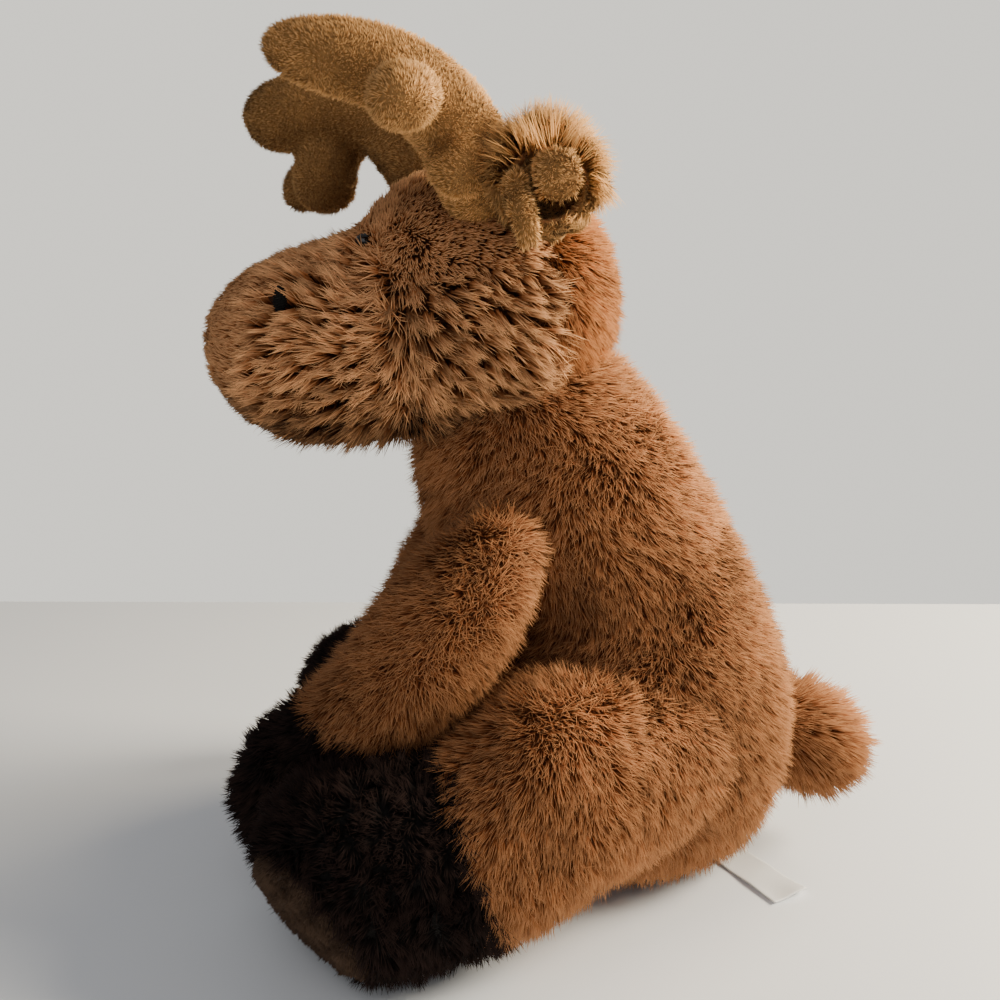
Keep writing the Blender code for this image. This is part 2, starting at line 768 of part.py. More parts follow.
def eye_set(side, word, tree, covers, filling):
    """The bead with its stem through the cover, and the washer that locks it inside."""
    above = HEAD_BASE_Z + HEAD_HEIGHT + CUT_OVERRUN
    start = (side * EYE_SPACING / 2, EYE_Y, above)
    place, normal = surface_at(tree, start, (0, 0, -1))
    turn = Vector((side * EYE_OUTWARD_TURN_SHARE, -EYE_FORWARD_TURN_SHARE, 0))
    normal = (normal + turn).normalized()
    stem_middle = place - normal * EYE_STEM_LENGTH / 2
    eye = ball("eye_" + word, place, EYE_RADIUS, EYE_SEGMENTS)
    stem = rod(
        "eye_stem_" + word, stem_middle, normal, EYE_STEM_RADIUS, EYE_STEM_LENGTH, EYE_SEGMENTS
    )
    boolean(eye, stem, "UNION")
    finish(eye, "eye_gloss", EYE_LOOK)
    seat = ball("eye_seat_" + word, place, EYE_RADIUS + SEAM_GAP, EYE_SEGMENTS)
    hole = rod(
        "eye_hole_" + word,
        stem_middle,
        normal,
        EYE_STEM_RADIUS + SEAM_GAP,
        EYE_STEM_LENGTH + CUT_OVERRUN,
        EYE_SEGMENTS,
    )
    for cover in covers:
        cut(cover, hide_cutter(seat), hide_cutter(hole))
    washer_middle = place - normal * (EYE_STEM_LENGTH - WASHER_THICKNESS)
    washer = rod(
        "eye_washer_" + word,
        washer_middle,
        normal,
        WASHER_RADIUS,
        WASHER_THICKNESS,
        EYE_SEGMENTS,
    )
    cut(washer, hole)
    finish(washer, "washer_plastic", WASHER_LOOK)
    room = rod(
        "eye_room_" + word,
        place - normal * EYE_STEM_LENGTH / 2,
        normal,
        WASHER_RADIUS + FILLING_FIT,
        EYE_STEM_LENGTH + 2 * FILLING_FIT,
        EYE_SEGMENTS,
    )
    cut(filling, hide_cutter(room))


def nostril(side, word, tree, cover):
    start = (side * HEAD_WIDTH, NOSTRIL_Y, NOSTRIL_Z)
    place, normal = surface_at(tree, start, (-side, 0, 0))
    shapes = []
    for name, extra in (("nostril_stitch_", 0.0), ("nostril_seat_", SEAM_GAP)):
        tall = NOSTRIL_HEIGHT / 2 + extra
        narrow = (NOSTRIL_WIDTH / 2 + extra) / tall
        bead = ball(name + word, (0, 0, 0), tall, EYE_SEGMENTS)
        turn = Vector((1, 0, 0)).rotation_difference(normal).to_matrix().to_4x4()
        squeeze = Matrix.Diagonal((narrow, narrow, 1, 1))
        bead.data.transform(Matrix.Translation(place) @ turn @ squeeze)
        shapes.append(bead)
    finish(shapes[0], "nose_stitching", STITCH_LOOK)
    cut(cover, shapes[1])


def head_pieces():
    """Front cover, rear panel and filling of the head, with the eyes and nostrils."""
    seam_y = MUZZLE_TIP_Y + REAR_SEAM_SHARE * HEAD_LENGTH
    socket = neck_socket("neck_socket_cut")
    cavity = head_form("head_cavity", -COVER_WALL)
    behind = half_space("behind_seam_cut", (0, seam_y, 0), (0, 1, 0))
    ahead = half_space("ahead_of_seam_cut", (0, seam_y + SEAM_GAP, 0), (0, -1, 0))
    front = head_form("head_cover")
    tree = skin_tree(front)
    rear = head_form("head_rear_panel")
    filling = head_form("head_filling", -(COVER_WALL + FILLING_FIT))
    cut(front, cavity, socket, behind)
    cut(rear, cavity, socket, ahead)
    cut(filling, neck_socket("neck_filling_cut", FILLING_FIT))
    for side, word in ((1, "left"), (-1, "right")):
        eye_set(side, word, tree, (front,), filling)
        nostril(side, word, tree, front)
    finish(front, "head_fur", HEAD_FUR_LOOK)
    finish(rear, "rear_panel_fur", REAR_FUR_LOOK)
    finish(filling, "fibre_filling", FILLING_LOOK)


def ear_direction(side):
    up = math.radians(EAR_UP_TILT_DEG)
    turn = math.radians(EAR_FORWARD_TURN_DEG)
    return Vector(
        (side * math.cos(up) * math.cos(turn), -math.cos(up) * math.sin(turn), math.sin(up))
    )


def ear(side, word, cutters):
    """A furry cup that opens outwards, and the velvet lining that lies in it."""
    radius = EAR_DIAMETER / 2
    dish = radius - EAR_LINING_THICKNESS
    floor_depth = EAR_DEPTH * EAR_FLOOR_DEPTH_SHARE
    rim_depth = EAR_DEPTH * EAR_RIM_DEPTH_SHARE
    floor_width = dish * EAR_FLOOR_WIDTH_SHARE
    rim_width = dish * EAR_RIM_WIDTH_SHARE
    profile = [(across * radius, out * EAR_DEPTH) for across, out in EAR_CUP_SHARES]
    profile.append((rim_width, rim_depth))
    profile.append((floor_width, floor_depth + EAR_LINING_THICKNESS))
    profile.append((0, floor_depth))
    place = Vector((side * EAR_X, EAR_Y, EAR_Z))
    direction = ear_direction(side)
    outer = turned("ear_" + word, profile, place, direction, EAR_SEGMENTS)
    cut(outer, *cutters)
    finish(outer, "head_fur", HEAD_FUR_LOOK)
    lining_back = floor_depth + SEAM_GAP
    lining_front = lining_back + EAR_LINING_THICKNESS
    lining_profile = [
        (0, lining_back),
        (floor_width - SEAM_GAP, lining_back + EAR_LINING_THICKNESS),
        (rim_width - SEAM_GAP, rim_depth),
        (dish * LINING_RIM_WIDTH_SHARE - SEAM_GAP, EAR_DEPTH * LINING_RIM_DEPTH_SHARE),
        (dish * LINING_FLOOR_WIDTH_SHARE, lining_front + EAR_LINING_THICKNESS),
        (0, lining_front),
    ]
    lining = turned("ear_lining_" + word, lining_profile, place, direction, EAR_SEGMENTS)
    cut(lining, *cutters)
    finish(lining, "antler_velvet", VELVET_LOOK)


def foreleg_seam(side):
    point = Vector(foreleg_centres(side, np.array([FORELEG_SEAM_SHARE]))[0])
    return point, Vector((0, -FORELEG_SEAM_SLANT_SHARE, -1)).normalized()


def limb_pieces(form, names, side, seam, leg_look, extra_cuts, hoof_cuts):
    """Leg cover, hoof cover and filling of one limb, parted at the hoof seam."""
    leg_name, hoof_name, filling_name = names
    point, down = seam
    cavity = form(leg_name + "_cavity", side, -COVER_WALL)
    below = half_space(leg_name + "_seam_cut", point, down)
    above = half_space(hoof_name + "_seam_cut", point + down * SEAM_GAP, -down)
    leg = form(leg_name, side)
    cut(leg, cavity, below, *extra_cuts)
    finish(leg, *leg_look)
    hoof = form(hoof_name, side)
    cut(hoof, cavity, above, *extra_cuts, *hoof_cuts)
    finish(hoof, "hoof_fur", HOOF_FUR_LOOK)
    filling = form(filling_name, side, -(COVER_WALL + FILLING_FIT))
    cut(filling, *extra_cuts, *hoof_cuts)
    finish(filling, "fibre_filling", FILLING_LOOK)


def hind_seam(side):
    point = hind_leg_rows(np.array([HIND_SEAM_SHARE]))[0] * np.array([side, 1, 1])
    tilt = math.radians(HIND_SEAM_TILT_DEG)
    return Vector(point), Vector((0, -math.cos(tilt), -math.sin(tilt)))


def sole_frame(side):
    """Centre of the hoof and the direction that its sole faces."""
    centre = hind_leg_rows(np.array([SOLE_CENTRE_SHARE]))[0] * np.array([side, 1, 1])
    turn = math.radians(SOLE_TURN_DEG)
    tilt = math.radians(SOLE_TILT_DEG)
    facing = Vector(
        (
            side * math.sin(turn) * math.cos(tilt),
            -math.cos(turn) * math.cos(tilt),
            -math.sin(tilt),
        )
    )
    return Vector(centre), facing


def hind_leg_pieces(side, word, torso_cutter, floor):
    centre, facing = sole_frame(side)
    sole_point = centre + facing * SOLE_DISTANCE
    sole_cut = half_space("hind_sole_cut_" + word, sole_point, facing)
    limb_pieces(
        hind_leg_form,
        ("hind_leg_" + word, "hind_hoof_" + word, "hind_leg_filling_" + word),
        side,
        hind_seam(side),
        ("body_fur", BODY_FUR_LOOK),
        (torso_cutter, floor),
        (sole_cut,),
    )
    sole = hind_leg_form("hind_sole_" + word, side)
    behind = half_space(
        "hind_sole_back_cut_" + word, sole_point + facing * SEAM_GAP, -facing
    )
    ahead = half_space(
        "hind_sole_front_cut_" + word, sole_point + facing * SOLE_THICKNESS, facing
    )
    cut(sole, behind, ahead, floor)
    finish(sole, "sole_velvet", SOLE_LOOK)


def tail(torso_cutter):
    made = tail_form("tail")
    cut(made, torso_cutter)
    finish(made, "body_fur", BODY_FUR_LOOK)


def label(cutters):
    """A thin satin strip that comes out from under the seat and lies on the table."""
    shape = bmesh.new()
    bmesh.ops.create_cube(shape, size=LABEL_LENGTH)
    width_share = LABEL_WIDTH / LABEL_LENGTH
    thickness_share = LABEL_THICKNESS / LABEL_LENGTH
    size = Matrix.Diagonal((1, width_share, thickness_share, 1))
    middle = (LABEL_LENGTH / 2, 0, LABEL_THICKNESS / 2)
    turn = Matrix.Rotation(math.radians(LABEL_TURN_DEG), 4, "Z")
    root = Matrix.Translation((LABEL_ROOT_X, LABEL_ROOT_Y, LABEL_LIFT))
    place = root @ turn @ Matrix.Translation(middle) @ size
    bmesh.ops.transform(shape, matrix=place, verts=shape.verts)
    data = bpy.data.meshes.new("label")
    shape.to_mesh(data)
    shape.free()
    made = add_object("label", data)
    cut(made, *cutters)
    finish(made, "label_satin", LABEL_LOOK)


def carry(axis, moved):
    """Makes the piece move with the axis, and leaves it where it is."""
    bpy.context.view_layer.update()
    moved.parent = axis
    moved.matrix_parent_inverse = axis.matrix_world.inverted()


def joint_axis(name, place, *pieces):
    """An empty on the joint's axis, which carries the pieces that turn about it."""
    axis = add_object(name, None)
    axis.location = place
    for piece in pieces:
        carry(axis, bpy.data.objects[piece])
    return axis


def thigh_sweep(side, word):
    """The room that the hind leg takes as it splays, for cutting the foreleg over it."""
    cutters = []
    hinge = Vector((side * HIP_HINGE_X, HIP_HINGE_Y, HIP_HINGE_Z))
    for count, share in enumerate(SPLAY_STEP_SHARES):
        form = hind_leg_form(f"hind_clearance_{word}_{count}", side, REST_GAP)
        turn = Matrix.Rotation(side * math.radians(SPLAY_LIMIT_DEG * share), 4, "Z")
        form.data.transform(Matrix.Translation(hinge) @ turn @ Matrix.Translation(-hinge))
        cutters.append(hide_cutter(form))
    return cutters


def joint_axes():
    """One empty for each group of pieces that turns, on the seam that it turns about."""
    neck = (0, NECK_PIVOT_Y, NECK_PIVOT_HEIGHT)
    head = joint_axis("head_axis", neck, "head_cover", "head_rear_panel", "head_filling")
    joint_axis("tail_axis", (0, TAIL_HINGE_Y, TAIL_HINGE_Z), "tail")
    for side, word in ((1, "left"), (-1, "right")):
        for piece in ("eye_", "eye_washer_", "nostril_stitch_"):
            carry(head, bpy.data.objects[piece + word])
        antler_axis = joint_axis(
            "antler_axis_" + word,
            (side * ANTLER_HINGE_X, ANTLER_HINGE_Y, ANTLER_HINGE_Z),
            "antler_" + word,
        )
        ear_axis = joint_axis(
            "ear_axis_" + word,
            (side * EAR_HINGE_X, EAR_HINGE_Y, EAR_HINGE_Z),
            "ear_" + word,
            "ear_lining_" + word,
        )
        carry(head, antler_axis)
        carry(head, ear_axis)
        back = RIGHT_SHOULDER_BACK if side < 0 else 0
        joint_axis(
            "foreleg_axis_" + word,
            (side * SHOULDER_X, FORELEG_HINGE_Y + back, FORELEG_HINGE_Z),
            "foreleg_" + word,
            "fore_hoof_" + word,
            "foreleg_filling_" + word,
        )
        joint_axis(
            "hip_axis_" + word,
            (side * HIP_HINGE_X, HIP_HINGE_Y, HIP_HINGE_Z),
            "hind_leg_" + word,
            "hind_hoof_" + word,
            "hind_sole_" + word,
            "hind_leg_filling_" + word,
        )


def build():
    clear_scene()
    floor = floor_cutter()
    torso_pieces(floor)
    torso_cutter = hide_cutter(torso_form("torso_clearance", SEAM_GAP))
    head_cutter = hide_cutter(head_form("head_clearance", SEAM_GAP))
    head_pieces()
    tail(torso_cutter)
    label_cutters = [torso_cutter]
    for side, word in ((1, "left"), (-1, "right")):
        thigh_cutters = thigh_sweep(side, word)
        label_cutters.append(thigh_cutters[0])
        limb_pieces(
            foreleg_form,
            ("foreleg_" + word, "fore_hoof_" + word, "foreleg_filling_" + word),
            side,
            foreleg_seam(side),
            ("body_fur", BODY_FUR_LOOK),
            (torso_cutter, *thigh_cutters),
            (),
        )
        hind_leg_pieces(side, word, torso_cutter, floor)
        antler_cutters = antler(side, word, head_cutter)
        ear(side, word, [head_cutter, *antler_cutters])
    label(label_cutters)
    joint_axes()


build()
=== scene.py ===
"""Looks of the seated plush deer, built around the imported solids."""

import math

import bpy
import numpy as np
from mathutils import Matrix, Vector
from mathutils.bvhtree import BVHTree


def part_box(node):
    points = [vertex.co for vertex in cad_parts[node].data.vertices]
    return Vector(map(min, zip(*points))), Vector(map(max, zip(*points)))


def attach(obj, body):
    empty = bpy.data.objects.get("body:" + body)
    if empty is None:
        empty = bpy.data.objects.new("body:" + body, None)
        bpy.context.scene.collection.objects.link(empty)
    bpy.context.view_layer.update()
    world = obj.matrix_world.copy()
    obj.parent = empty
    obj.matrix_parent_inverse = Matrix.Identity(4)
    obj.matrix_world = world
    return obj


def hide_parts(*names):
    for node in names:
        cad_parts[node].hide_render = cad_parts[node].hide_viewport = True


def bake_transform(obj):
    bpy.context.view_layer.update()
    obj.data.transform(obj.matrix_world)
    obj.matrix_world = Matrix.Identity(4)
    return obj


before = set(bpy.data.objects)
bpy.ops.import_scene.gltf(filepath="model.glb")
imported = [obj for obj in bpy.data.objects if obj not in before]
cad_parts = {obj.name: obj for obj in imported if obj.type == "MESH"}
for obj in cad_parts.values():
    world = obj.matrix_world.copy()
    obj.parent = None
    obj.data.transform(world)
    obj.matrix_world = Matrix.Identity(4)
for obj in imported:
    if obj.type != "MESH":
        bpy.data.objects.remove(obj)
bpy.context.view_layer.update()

# Sizes in metres. The left side is the near one in the photograph
SIDES = ((1, "left"), (-1, "right"))
SKIN_INSET = 0.006
ANTLER_INSET = 0.0012
HEAD_SEAM_Y = -0.0084
HEAD_SEAM_WIDE = 0.004
HEAD_SEAM_DEEP = 0.0022
SEAM_CLEAR = 0.0004
LOWEST_FUR = 0.0004
FAR_HOOF_BACK = 0.008
FAR_HOOF_OUT = 0.003
FAR_SHOULDER_BACK = 0.010
FAR_CUFF_BACK = 0.022
FAR_FORE_HOOF_BACK = 0.028
FAR_ANTLER_LEAN = 0.014
FAR_ANTLER_DROOP = 0.0135
HIND_SEAM_FALL = 18
HIND_SEAM_SPOT = (0.0590, -0.0337, 0.0440)
SOLE_TURN = 37
SOLE_FALL = 27
SOLE_SPOT = (0.0645, -0.0675, 0.038)
SOLE_OUT = 0.0235
SOLE_HEIGHT = 0.0045
CUFF_WAY = (0, -0.287, -0.958)
CUFF_SPOT = (0.0391, -0.0685, 0.0758)
EYE_RADIUS = 0.0031
LABEL_LONG = 0.047
LABEL_WIDE = 0.0155


def in_metres(*rows):
    """Takes rows of millimetres."""
    return [tuple(number / 1000 for number in row) for row in rows]


# Each row: place of the ring's middle, then half across and half up
TORSO_RINGS = in_metres(
    (0, 23.6, 3, 26, 40), (0, 24.6, 9, 36, 50), (0, 25.6, 20, 50, 59), (0, 24.3, 45, 62.2, 68.5),
    (0, 22, 70, 64.2, 71.2), (0, 21.5, 97, 60.2, 63.6), (0, 13.2, 123, 53, 58), (0, 2, 153, 46, 54.4),
    (0, -3.2, 166, 45.5, 49.4), (0, -6.8, 182, 42, 43.2), (0, -9, 196, 30, 30), (0, -9, 204, 13, 13),
)
HEAD_RINGS = in_metres(
    (0, 18.5, 213.5, 13, 11), (0, 15.2, 213.5, 28.5, 24), (0, 6.2, 214.5, 42.5, 37),
    (0, -10, 216.7, 49, 46), (0, -30, 216, 49, 49), (0, -46.1, 213, 46.2, 48),
    (0, -56, 209.5, 43.5, 45.8), (0, -64, 203.5, 42.2, 40.2), (0, -74, 200.1, 42, 38.3),
    (0, -91, 199.1, 39.8, 36.5), (0, -105, 198.6, 32.5, 30.2), (0, -114, 198.9, 21.5, 21),
    (0, -118, 199, 10, 10),
)
FORELEG_RINGS = in_metres(
    (40, -15, 147.5, 10, 12), (45, -23.5, 137.2, 18.8, 20.5), (51.2, -36.2, 121.8, 24, 25.2),
    (49, -52, 99.4, 25.2, 25.5), (41.5, -65, 80.8, 24.6, 24.6), (38.3, -69.4, 74.6, 24, 24.6),
    (32.4, -77.4, 64.7, 22.2, 28), (26.2, -87.8, 50, 24, 31.6), (24, -97.5, 36.8, 21, 27.5),
    (23.6, -103.5, 29.2, 15, 19.2), (23.6, -105.2, 25.5, 7.8, 9.5),
)
HIND_LEG_RINGS = in_metres(
    (47, 53.5, 64, 9, 11), (48, 48, 63, 16.5, 20.5), (47, 30, 60, 27.5, 34.5),
    (51.5, 6, 59, 35.5, 41.5), (56, -17, 55.5, 36.8, 45.2), (59, -35, 43.5, 34.2, 41.2),
    (61, -47, 39.5, 33.7, 38.2), (63, -60, 38, 35.2, 38.2), (65, -78, 38, 34.2, 37.7),
    (66, -93, 37.5, 28.2, 32.2), (67, -102, 37, 18.2, 21.2), (67, -105, 37, 9, 10),
)
TAIL_RINGS = in_metres(
    (0, 121.5, 41.2, 7, 9), (0, 117.4, 41.6, 14.6, 18.5), (0, 106.2, 44, 21.2, 26.2),
    (0, 89.4, 49.4, 19.9, 24.6), (0, 73.7, 52.4, 14, 17.8), (0, 69, 53, 8, 10),
)
# Each row: a place on the left beam's middle line, then its radius
BEAM_POINTS = in_metres(
    (28, -30, 243, 9.4), (31, -29.8, 249, 12.7), (35, -31.5, 258, 13.8), (39, -36, 266.9, 14.1),
    (43.8, -46.5, 277.4, 13.8), (47.4, -60.7, 284.6, 12.7), (49.1, -73.5, 287.2, 11.9),
    (49.8, -83, 288.6, 10), (50, -89, 289.4, 7.4), (50, -92.5, 289.8, 3.6),
)
# Each row: share of a finger's length, then share of its thickness
FINGER_SHARES = (
    (0.06, 0.46), (0.20, 0.74), (0.45, 0.94), (0.70, 1.00), (0.86, 0.86), (0.95, 0.58), (0.985, 0.30),
)
# Each row: root, way, length and thickness of the tine, then of the lobe
ANTLER_FINGERS = {
    "left": (
        ((0.0438, -0.0465, 0.2772), (1.0, -0.30, -0.12), 0.040, 0.0215),
        ((0.0331, -0.0305, 0.2532), (1.0, -0.45, 0.25), 0.027, 0.0210),
    ),
    "right": (
        ((-0.0440, -0.0620, 0.2764), (-0.44, -0.66, -0.61), 0.050, 0.0215),
        ((-0.0467, -0.0775, 0.2800), (-0.05, -0.08, -0.99), 0.038, 0.0262),
    ),
}
# Each row: y and z of a crease at the body's side, its reach and its depth. The fur there also gets
# painted shade
FOLD_SPOTS = in_metres(
    (-30, 118, 14, 4), (-10, 107, 15, 5), (12, 104, 15, 4), (34, 106, 15, 3), (22, 126, 20, 2),
)
# Each row: distance out along the ear, then half width: up the cup's outside and down its hollow
EAR_CUP = in_metres(
    (1, 7.5), (5, 9.5), (11, 12), (17, 13.4), (21, 12.8), (21.2, 11), (18, 10.3), (14, 7.5), (12.5, 3),
)
# Each row: back, rise and out from the ear's root, then half width and half height
EAR_BOWL = in_metres(
    (1.5, -5, 12, 5, 5), (1.5, -5, 13.5, 9, 10), (1.5, -5, 17, 10.8, 12), (1.5, -5, 21.5, 11, 12.4),
    (1.5, -5, 21.7, 9.2, 10.6), (1.5, -5, 17.5, 7.8, 9), (1.5, -5, 15, 4, 4.5),
)
EAR_FOLD = in_metres(
    (1.8, 5.6, 20, 3.4, 1.6), (2.2, 4.2, 24, 5.2, 3.4), (3, 0.4, 27.2, 6.4, 4.6),
    (3.4, -3.6, 28.4, 6.4, 4.4), (3.6, -6.6, 28, 6, 3.4), (3.8, -8.6, 27, 5.2, 2.2),
    (3.8, -9.4, 26.2, 3.4, 1),
)
EAR_EDGE = in_metres(
    (-8.8, 2.5, 19.5, 1.2, 1.4), (-9.4, 0, 22.5, 1.8, 2.6), (-9.2, -5, 25.5, 2.4, 3.4),
    (-8, -11, 27.2, 2.8, 3.8), (-6.6, -16.5, 26.8, 3, 3.4), (-5.8, -20.8, 23.8, 2.6, 2.4),
    (-6.2, -22.2, 22, 1.4, 1.2),
)


# Small helpers


def deselect():
    held = bpy.context.object
    if held and held.mode != "OBJECT":
        bpy.ops.object.mode_set(mode="OBJECT")
    bpy.ops.object.select_all(action="DESELECT")


def choose(*chosen):
    deselect()
    for piece in chosen:
        piece.select_set(True)
    bpy.context.view_layer.objects.active = chosen[0]


def joined(name, *parts):
    choose(*parts)
    bpy.ops.object.join()
    made = bpy.context.object
    made.name = name
    return made


def settle(piece):
    """Puts the piece's place into its mesh."""
    choose(piece)
    bpy.ops.object.transform_apply(location=True, rotation=True, scale=True)
    bpy.ops.object.shade_smooth()
    return piece


def points_of(piece, what="co"):
    held = np.empty(len(piece.data.vertices) * 3)
    piece.data.vertices.foreach_get(what, held)
    return held.reshape(-1, 3)


def put_points(piece, points):
    piece.data.vertices.foreach_set("co", np.ascontiguousarray(points).ravel())
    piece.data.update()


def unit(rows):
    return rows / np.maximum(np.linalg.norm(rows, axis=1, keepdims=True), 1e-9)


def ease_step(low, high, value):
    t = np.clip((value - low) / (high - low), 0, 1)
    return t * t * (3 - 2 * t)


def waves(points, size, seed):
    """Slow noise in three directions, made of a few waves of about the given size."""
    dice = np.random.default_rng(seed)
    total = np.zeros((len(points), 3))
    for _ in range(7):
        way = dice.normal(size=3)
        way *= dice.uniform(0.7, 1.6) / np.linalg.norm(way) * math.tau / size
        push = dice.normal(size=3)
        total += np.sin(points @ way + dice.uniform(0, math.tau))[:, None] * push
    return total / 3.2


def way_basis(travel, across):
    """A turn whose Z is the way of travel and whose X is nearest to across."""
    travel = Vector(travel).normalized()
    across = Vector(across)
    across = (across - travel * across.dot(travel)).normalized()
    return Matrix((across, travel.cross(across), travel)).transposed()


def forward_way(turn, fall, side=1):
    """The way forwards, turned outwards and let fall by so many degrees."""
    turn = math.radians(turn)
    fall = math.radians(fall)
    return Vector(
        (side * math.sin(turn) * math.cos(fall), -math.cos(turn) * math.cos(fall), -math.sin(fall))
    )


def past(point, way):
    """A measure of how far spots lie beyond the plane of a seam."""
    return lambda spots: (spots - np.array(point)) @ np.array(way)


def new_object(name, data):
    made = bpy.data.objects.new(name, data)
    bpy.context.scene.collection.objects.link(made)
    return made


def tree_of(piece):
    faces = [tuple(face.vertices) for face in piece.data.polygons]
    return BVHTree.FromPolygons([tuple(p) for p in points_of(piece)], faces)


def depth_in(tree, points):
    """How far each point lies inside a closed form. Negative is outside."""
    depth = np.empty(len(points))
    for i, point in enumerate(points):
        spot, normal, _, far = tree.find_nearest(Vector(point))
        depth[i] = far if (Vector(point) - spot).dot(normal) < 0 else -far
    return depth


# Covers and their filling


def put_in_order(piece, spots):
    """Numbers a piece's points after a list of their places. Extruding leaves that to chance."""
    points = points_of(piece)
    number = np.argmin(np.linalg.norm(points[:, None] - spots, axis=2), axis=1)
    faces = [[int(number[k]) for k in face.vertices] for face in piece.data.polygons]
    piece.data.clear_geometry()
    piece.data.from_pydata(points[np.argsort(number)], [], sorted(faces, key=sorted))


def ringed_skin(name, rings, travel, across=(1, 0, 0), inset=0.0, segments=28):
    """A closed skin pulled ring by ring out of a circle."""
    basis = way_basis(travel, across)
    start = Vector(rings[0][:3])
    rows = []
    for x, y, z, half_across, half_up in rings:
        local = basis.transposed() @ (Vector((x, y, z)) - start)
        rows.append((local, max(half_across - inset, 0.0025), max(half_up - inset, 0.0025)))
    deselect()
    bpy.ops.mesh.primitive_circle_add(vertices=segments, radius=1, fill_type="NGON")
    made = bpy.context.object
    made.name = name
    circle = points_of(made)
    spots = [np.array(place) + circle * (wide, tall, 1) for place, wide, tall in rows]
    bpy.ops.object.mode_set(mode="EDIT")
    here, wide, tall = rows[0]
    bpy.ops.transform.resize(value=(wide, tall, 1), center_override=here)
    for place, next_wide, next_tall in rows[1:]:
        bpy.ops.mesh.extrude_region_move(TRANSFORM_OT_translate={"value": place - here})
        grown = (next_wide / wide, next_tall / tall, 1)
        bpy.ops.transform.resize(value=grown, center_override=place)
        here, wide, tall = place, next_wide, next_tall
    bpy.ops.mesh.select_all(action="SELECT")
    bpy.ops.mesh.normals_make_consistent(inside=False)
    bpy.ops.object.mode_set(mode="OBJECT")
    put_in_order(made, np.concatenate(spots))
    made.matrix_world = Matrix.Translation(start) @ basis.to_4x4()
    return settle(made)


def rounded(piece):
    choose(piece)
    soft = piece.modifiers.new("rounding", "SUBSURF")
    soft.levels = 1
    soft.render_levels = 1
    bpy.ops.object.modifier_apply(modifier=soft.name)
    bpy.ops.object.shade_smooth()
    return piece


def squared(piece, rings, front, share):
    """Pushes the corners of a limb's front part outwards, away from its middle line."""
    rows = np.array(rings)
    order = np.argsort(rows[:, 1])
    points = points_of(piece)
    middle_x = np.interp(points[:, 1], rows[order, 1], rows[order, 0])
    middle_z = np.interp(points[:, 1], rows[order, 1], rows[order, 2])
    off = points[:, [0, 2]] - np.stack([middle_x, middle_z], axis=1)
    far = np.maximum(np.linalg.norm(off, axis=1), 1e-6)
    corner = np.abs(off[:, 0] * off[:, 1]) * 2 / far**2
    grow = 1 + share * corner**1.5 * ease_step(0.0, 1.0, (front - points[:, 1]) / 0.03)
    points[:, 0] = middle_x + off[:, 0] * grow
    points[:, 2] = middle_z + off[:, 1] * grow
    put_points(piece, points)


def even_cloth(piece, voxel, eases=3):
    choose(piece)
    weave = piece.modifiers.new("even_cloth", "REMESH")
    weave.mode = "VOXEL"
    weave.voxel_size = voxel
    weave.use_smooth_shade = True
    bpy.ops.object.modifier_apply(modifier=weave.name)
    ease = piece.modifiers.new("ease", "SMOOTH")
    ease.factor = 0.5
    ease.iterations = eases
    bpy.ops.object.modifier_apply(modifier=ease.name)


def stuffed(piece, cap, pressure=4.0):
    """Lets the filling swell the cover a little, by no more than cap."""
    choose(piece)
    before = points_of(piece)
    cover = piece.modifiers.new("cover", "CLOTH")
    cover.settings.quality = 5
    cover.settings.mass = 0.3
    cover.settings.use_pressure = True
    cover.settings.uniform_pressure_force = pressure
    cover.settings.effector_weights.gravity = 0
    cover.point_cache.frame_start = 1
    cover.point_cache.frame_end = 20
    for step in range(1, 21):
        bpy.context.scene.frame_set(step)
    bpy.ops.object.modifier_apply(modifier=cover.name)
    bpy.context.scene.frame_set(1)
    moved = points_of(piece) - before
    far = np.linalg.norm(moved, axis=1, keepdims=True)
    put_points(piece, before + moved * np.minimum(1, cap / np.maximum(far, 1e-9)))
    return piece


def stuffed_skin(name, rings, travel, segments, voxel, cap, corners=None):
    made = ringed_skin(name, rings, travel, inset=SKIN_INSET, segments=segments)
    rounded(made)
    if corners:
        squared(made, rings, *corners)
    even_cloth(made, voxel)
    return stuffed(made, cap)


def parted(piece, name, rest_name, point, normal):
    """Two closed pieces, cut apart at a seam. The first lies behind the normal."""
    halves = []
    for part_name, outer in ((name, True), (rest_name, False)):
        choose(piece)
        bpy.ops.object.duplicate()
        half = bpy.context.object
        half.name = part_name
        bpy.ops.object.mode_set(mode="EDIT")
        bpy.ops.mesh.select_all(action="SELECT")
        bpy.ops.mesh.bisect(
            plane_co=point,
            plane_no=normal,
            use_fill=True,
            clear_outer=outer,
            clear_inner=not outer,
        )
        bpy.ops.object.mode_set(mode="OBJECT")
        halves.append(half)
    bpy.data.objects.remove(piece, do_unlink=True)
    return halves


# Pile: strands that grow from a cover


def lock_pull(points, size, seed):
    """The way from each point to the middle of its lock, and a number for each lock."""
    cell = np.floor(points / size).astype(np.int64)
    best = np.full(len(points), 1e9)
    toward = np.zeros((len(points), 3))
    lock = np.zeros(len(points))
    steps = [(dx, dy, dz) for dx in (-1, 0, 1) for dy in (-1, 0, 1) for dz in (-1, 0, 1)]
    for step in steps:
        spot = cell + step
        mixed = spot[:, 0] * 73856093 ^ spot[:, 1] * 19349663 ^ spot[:, 2] * 83492791
        mixed = (mixed + seed * 7919) & 0x7FFFFFFF
        jitter = np.stack([((mixed // k) % 1009) / 1009.0 for k in (1, 1013, 40009)], axis=1)
        centre = (spot + jitter) * size
        far = np.linalg.norm(centre - points, axis=1)
        nearer = far < best
        best = np.where(nearer, far, best)
        toward[nearer] = (centre - points)[nearer]
        lock = np.where(nearer, ((mixed // 7) % 997) / 997.0, lock)
    return toward, lock


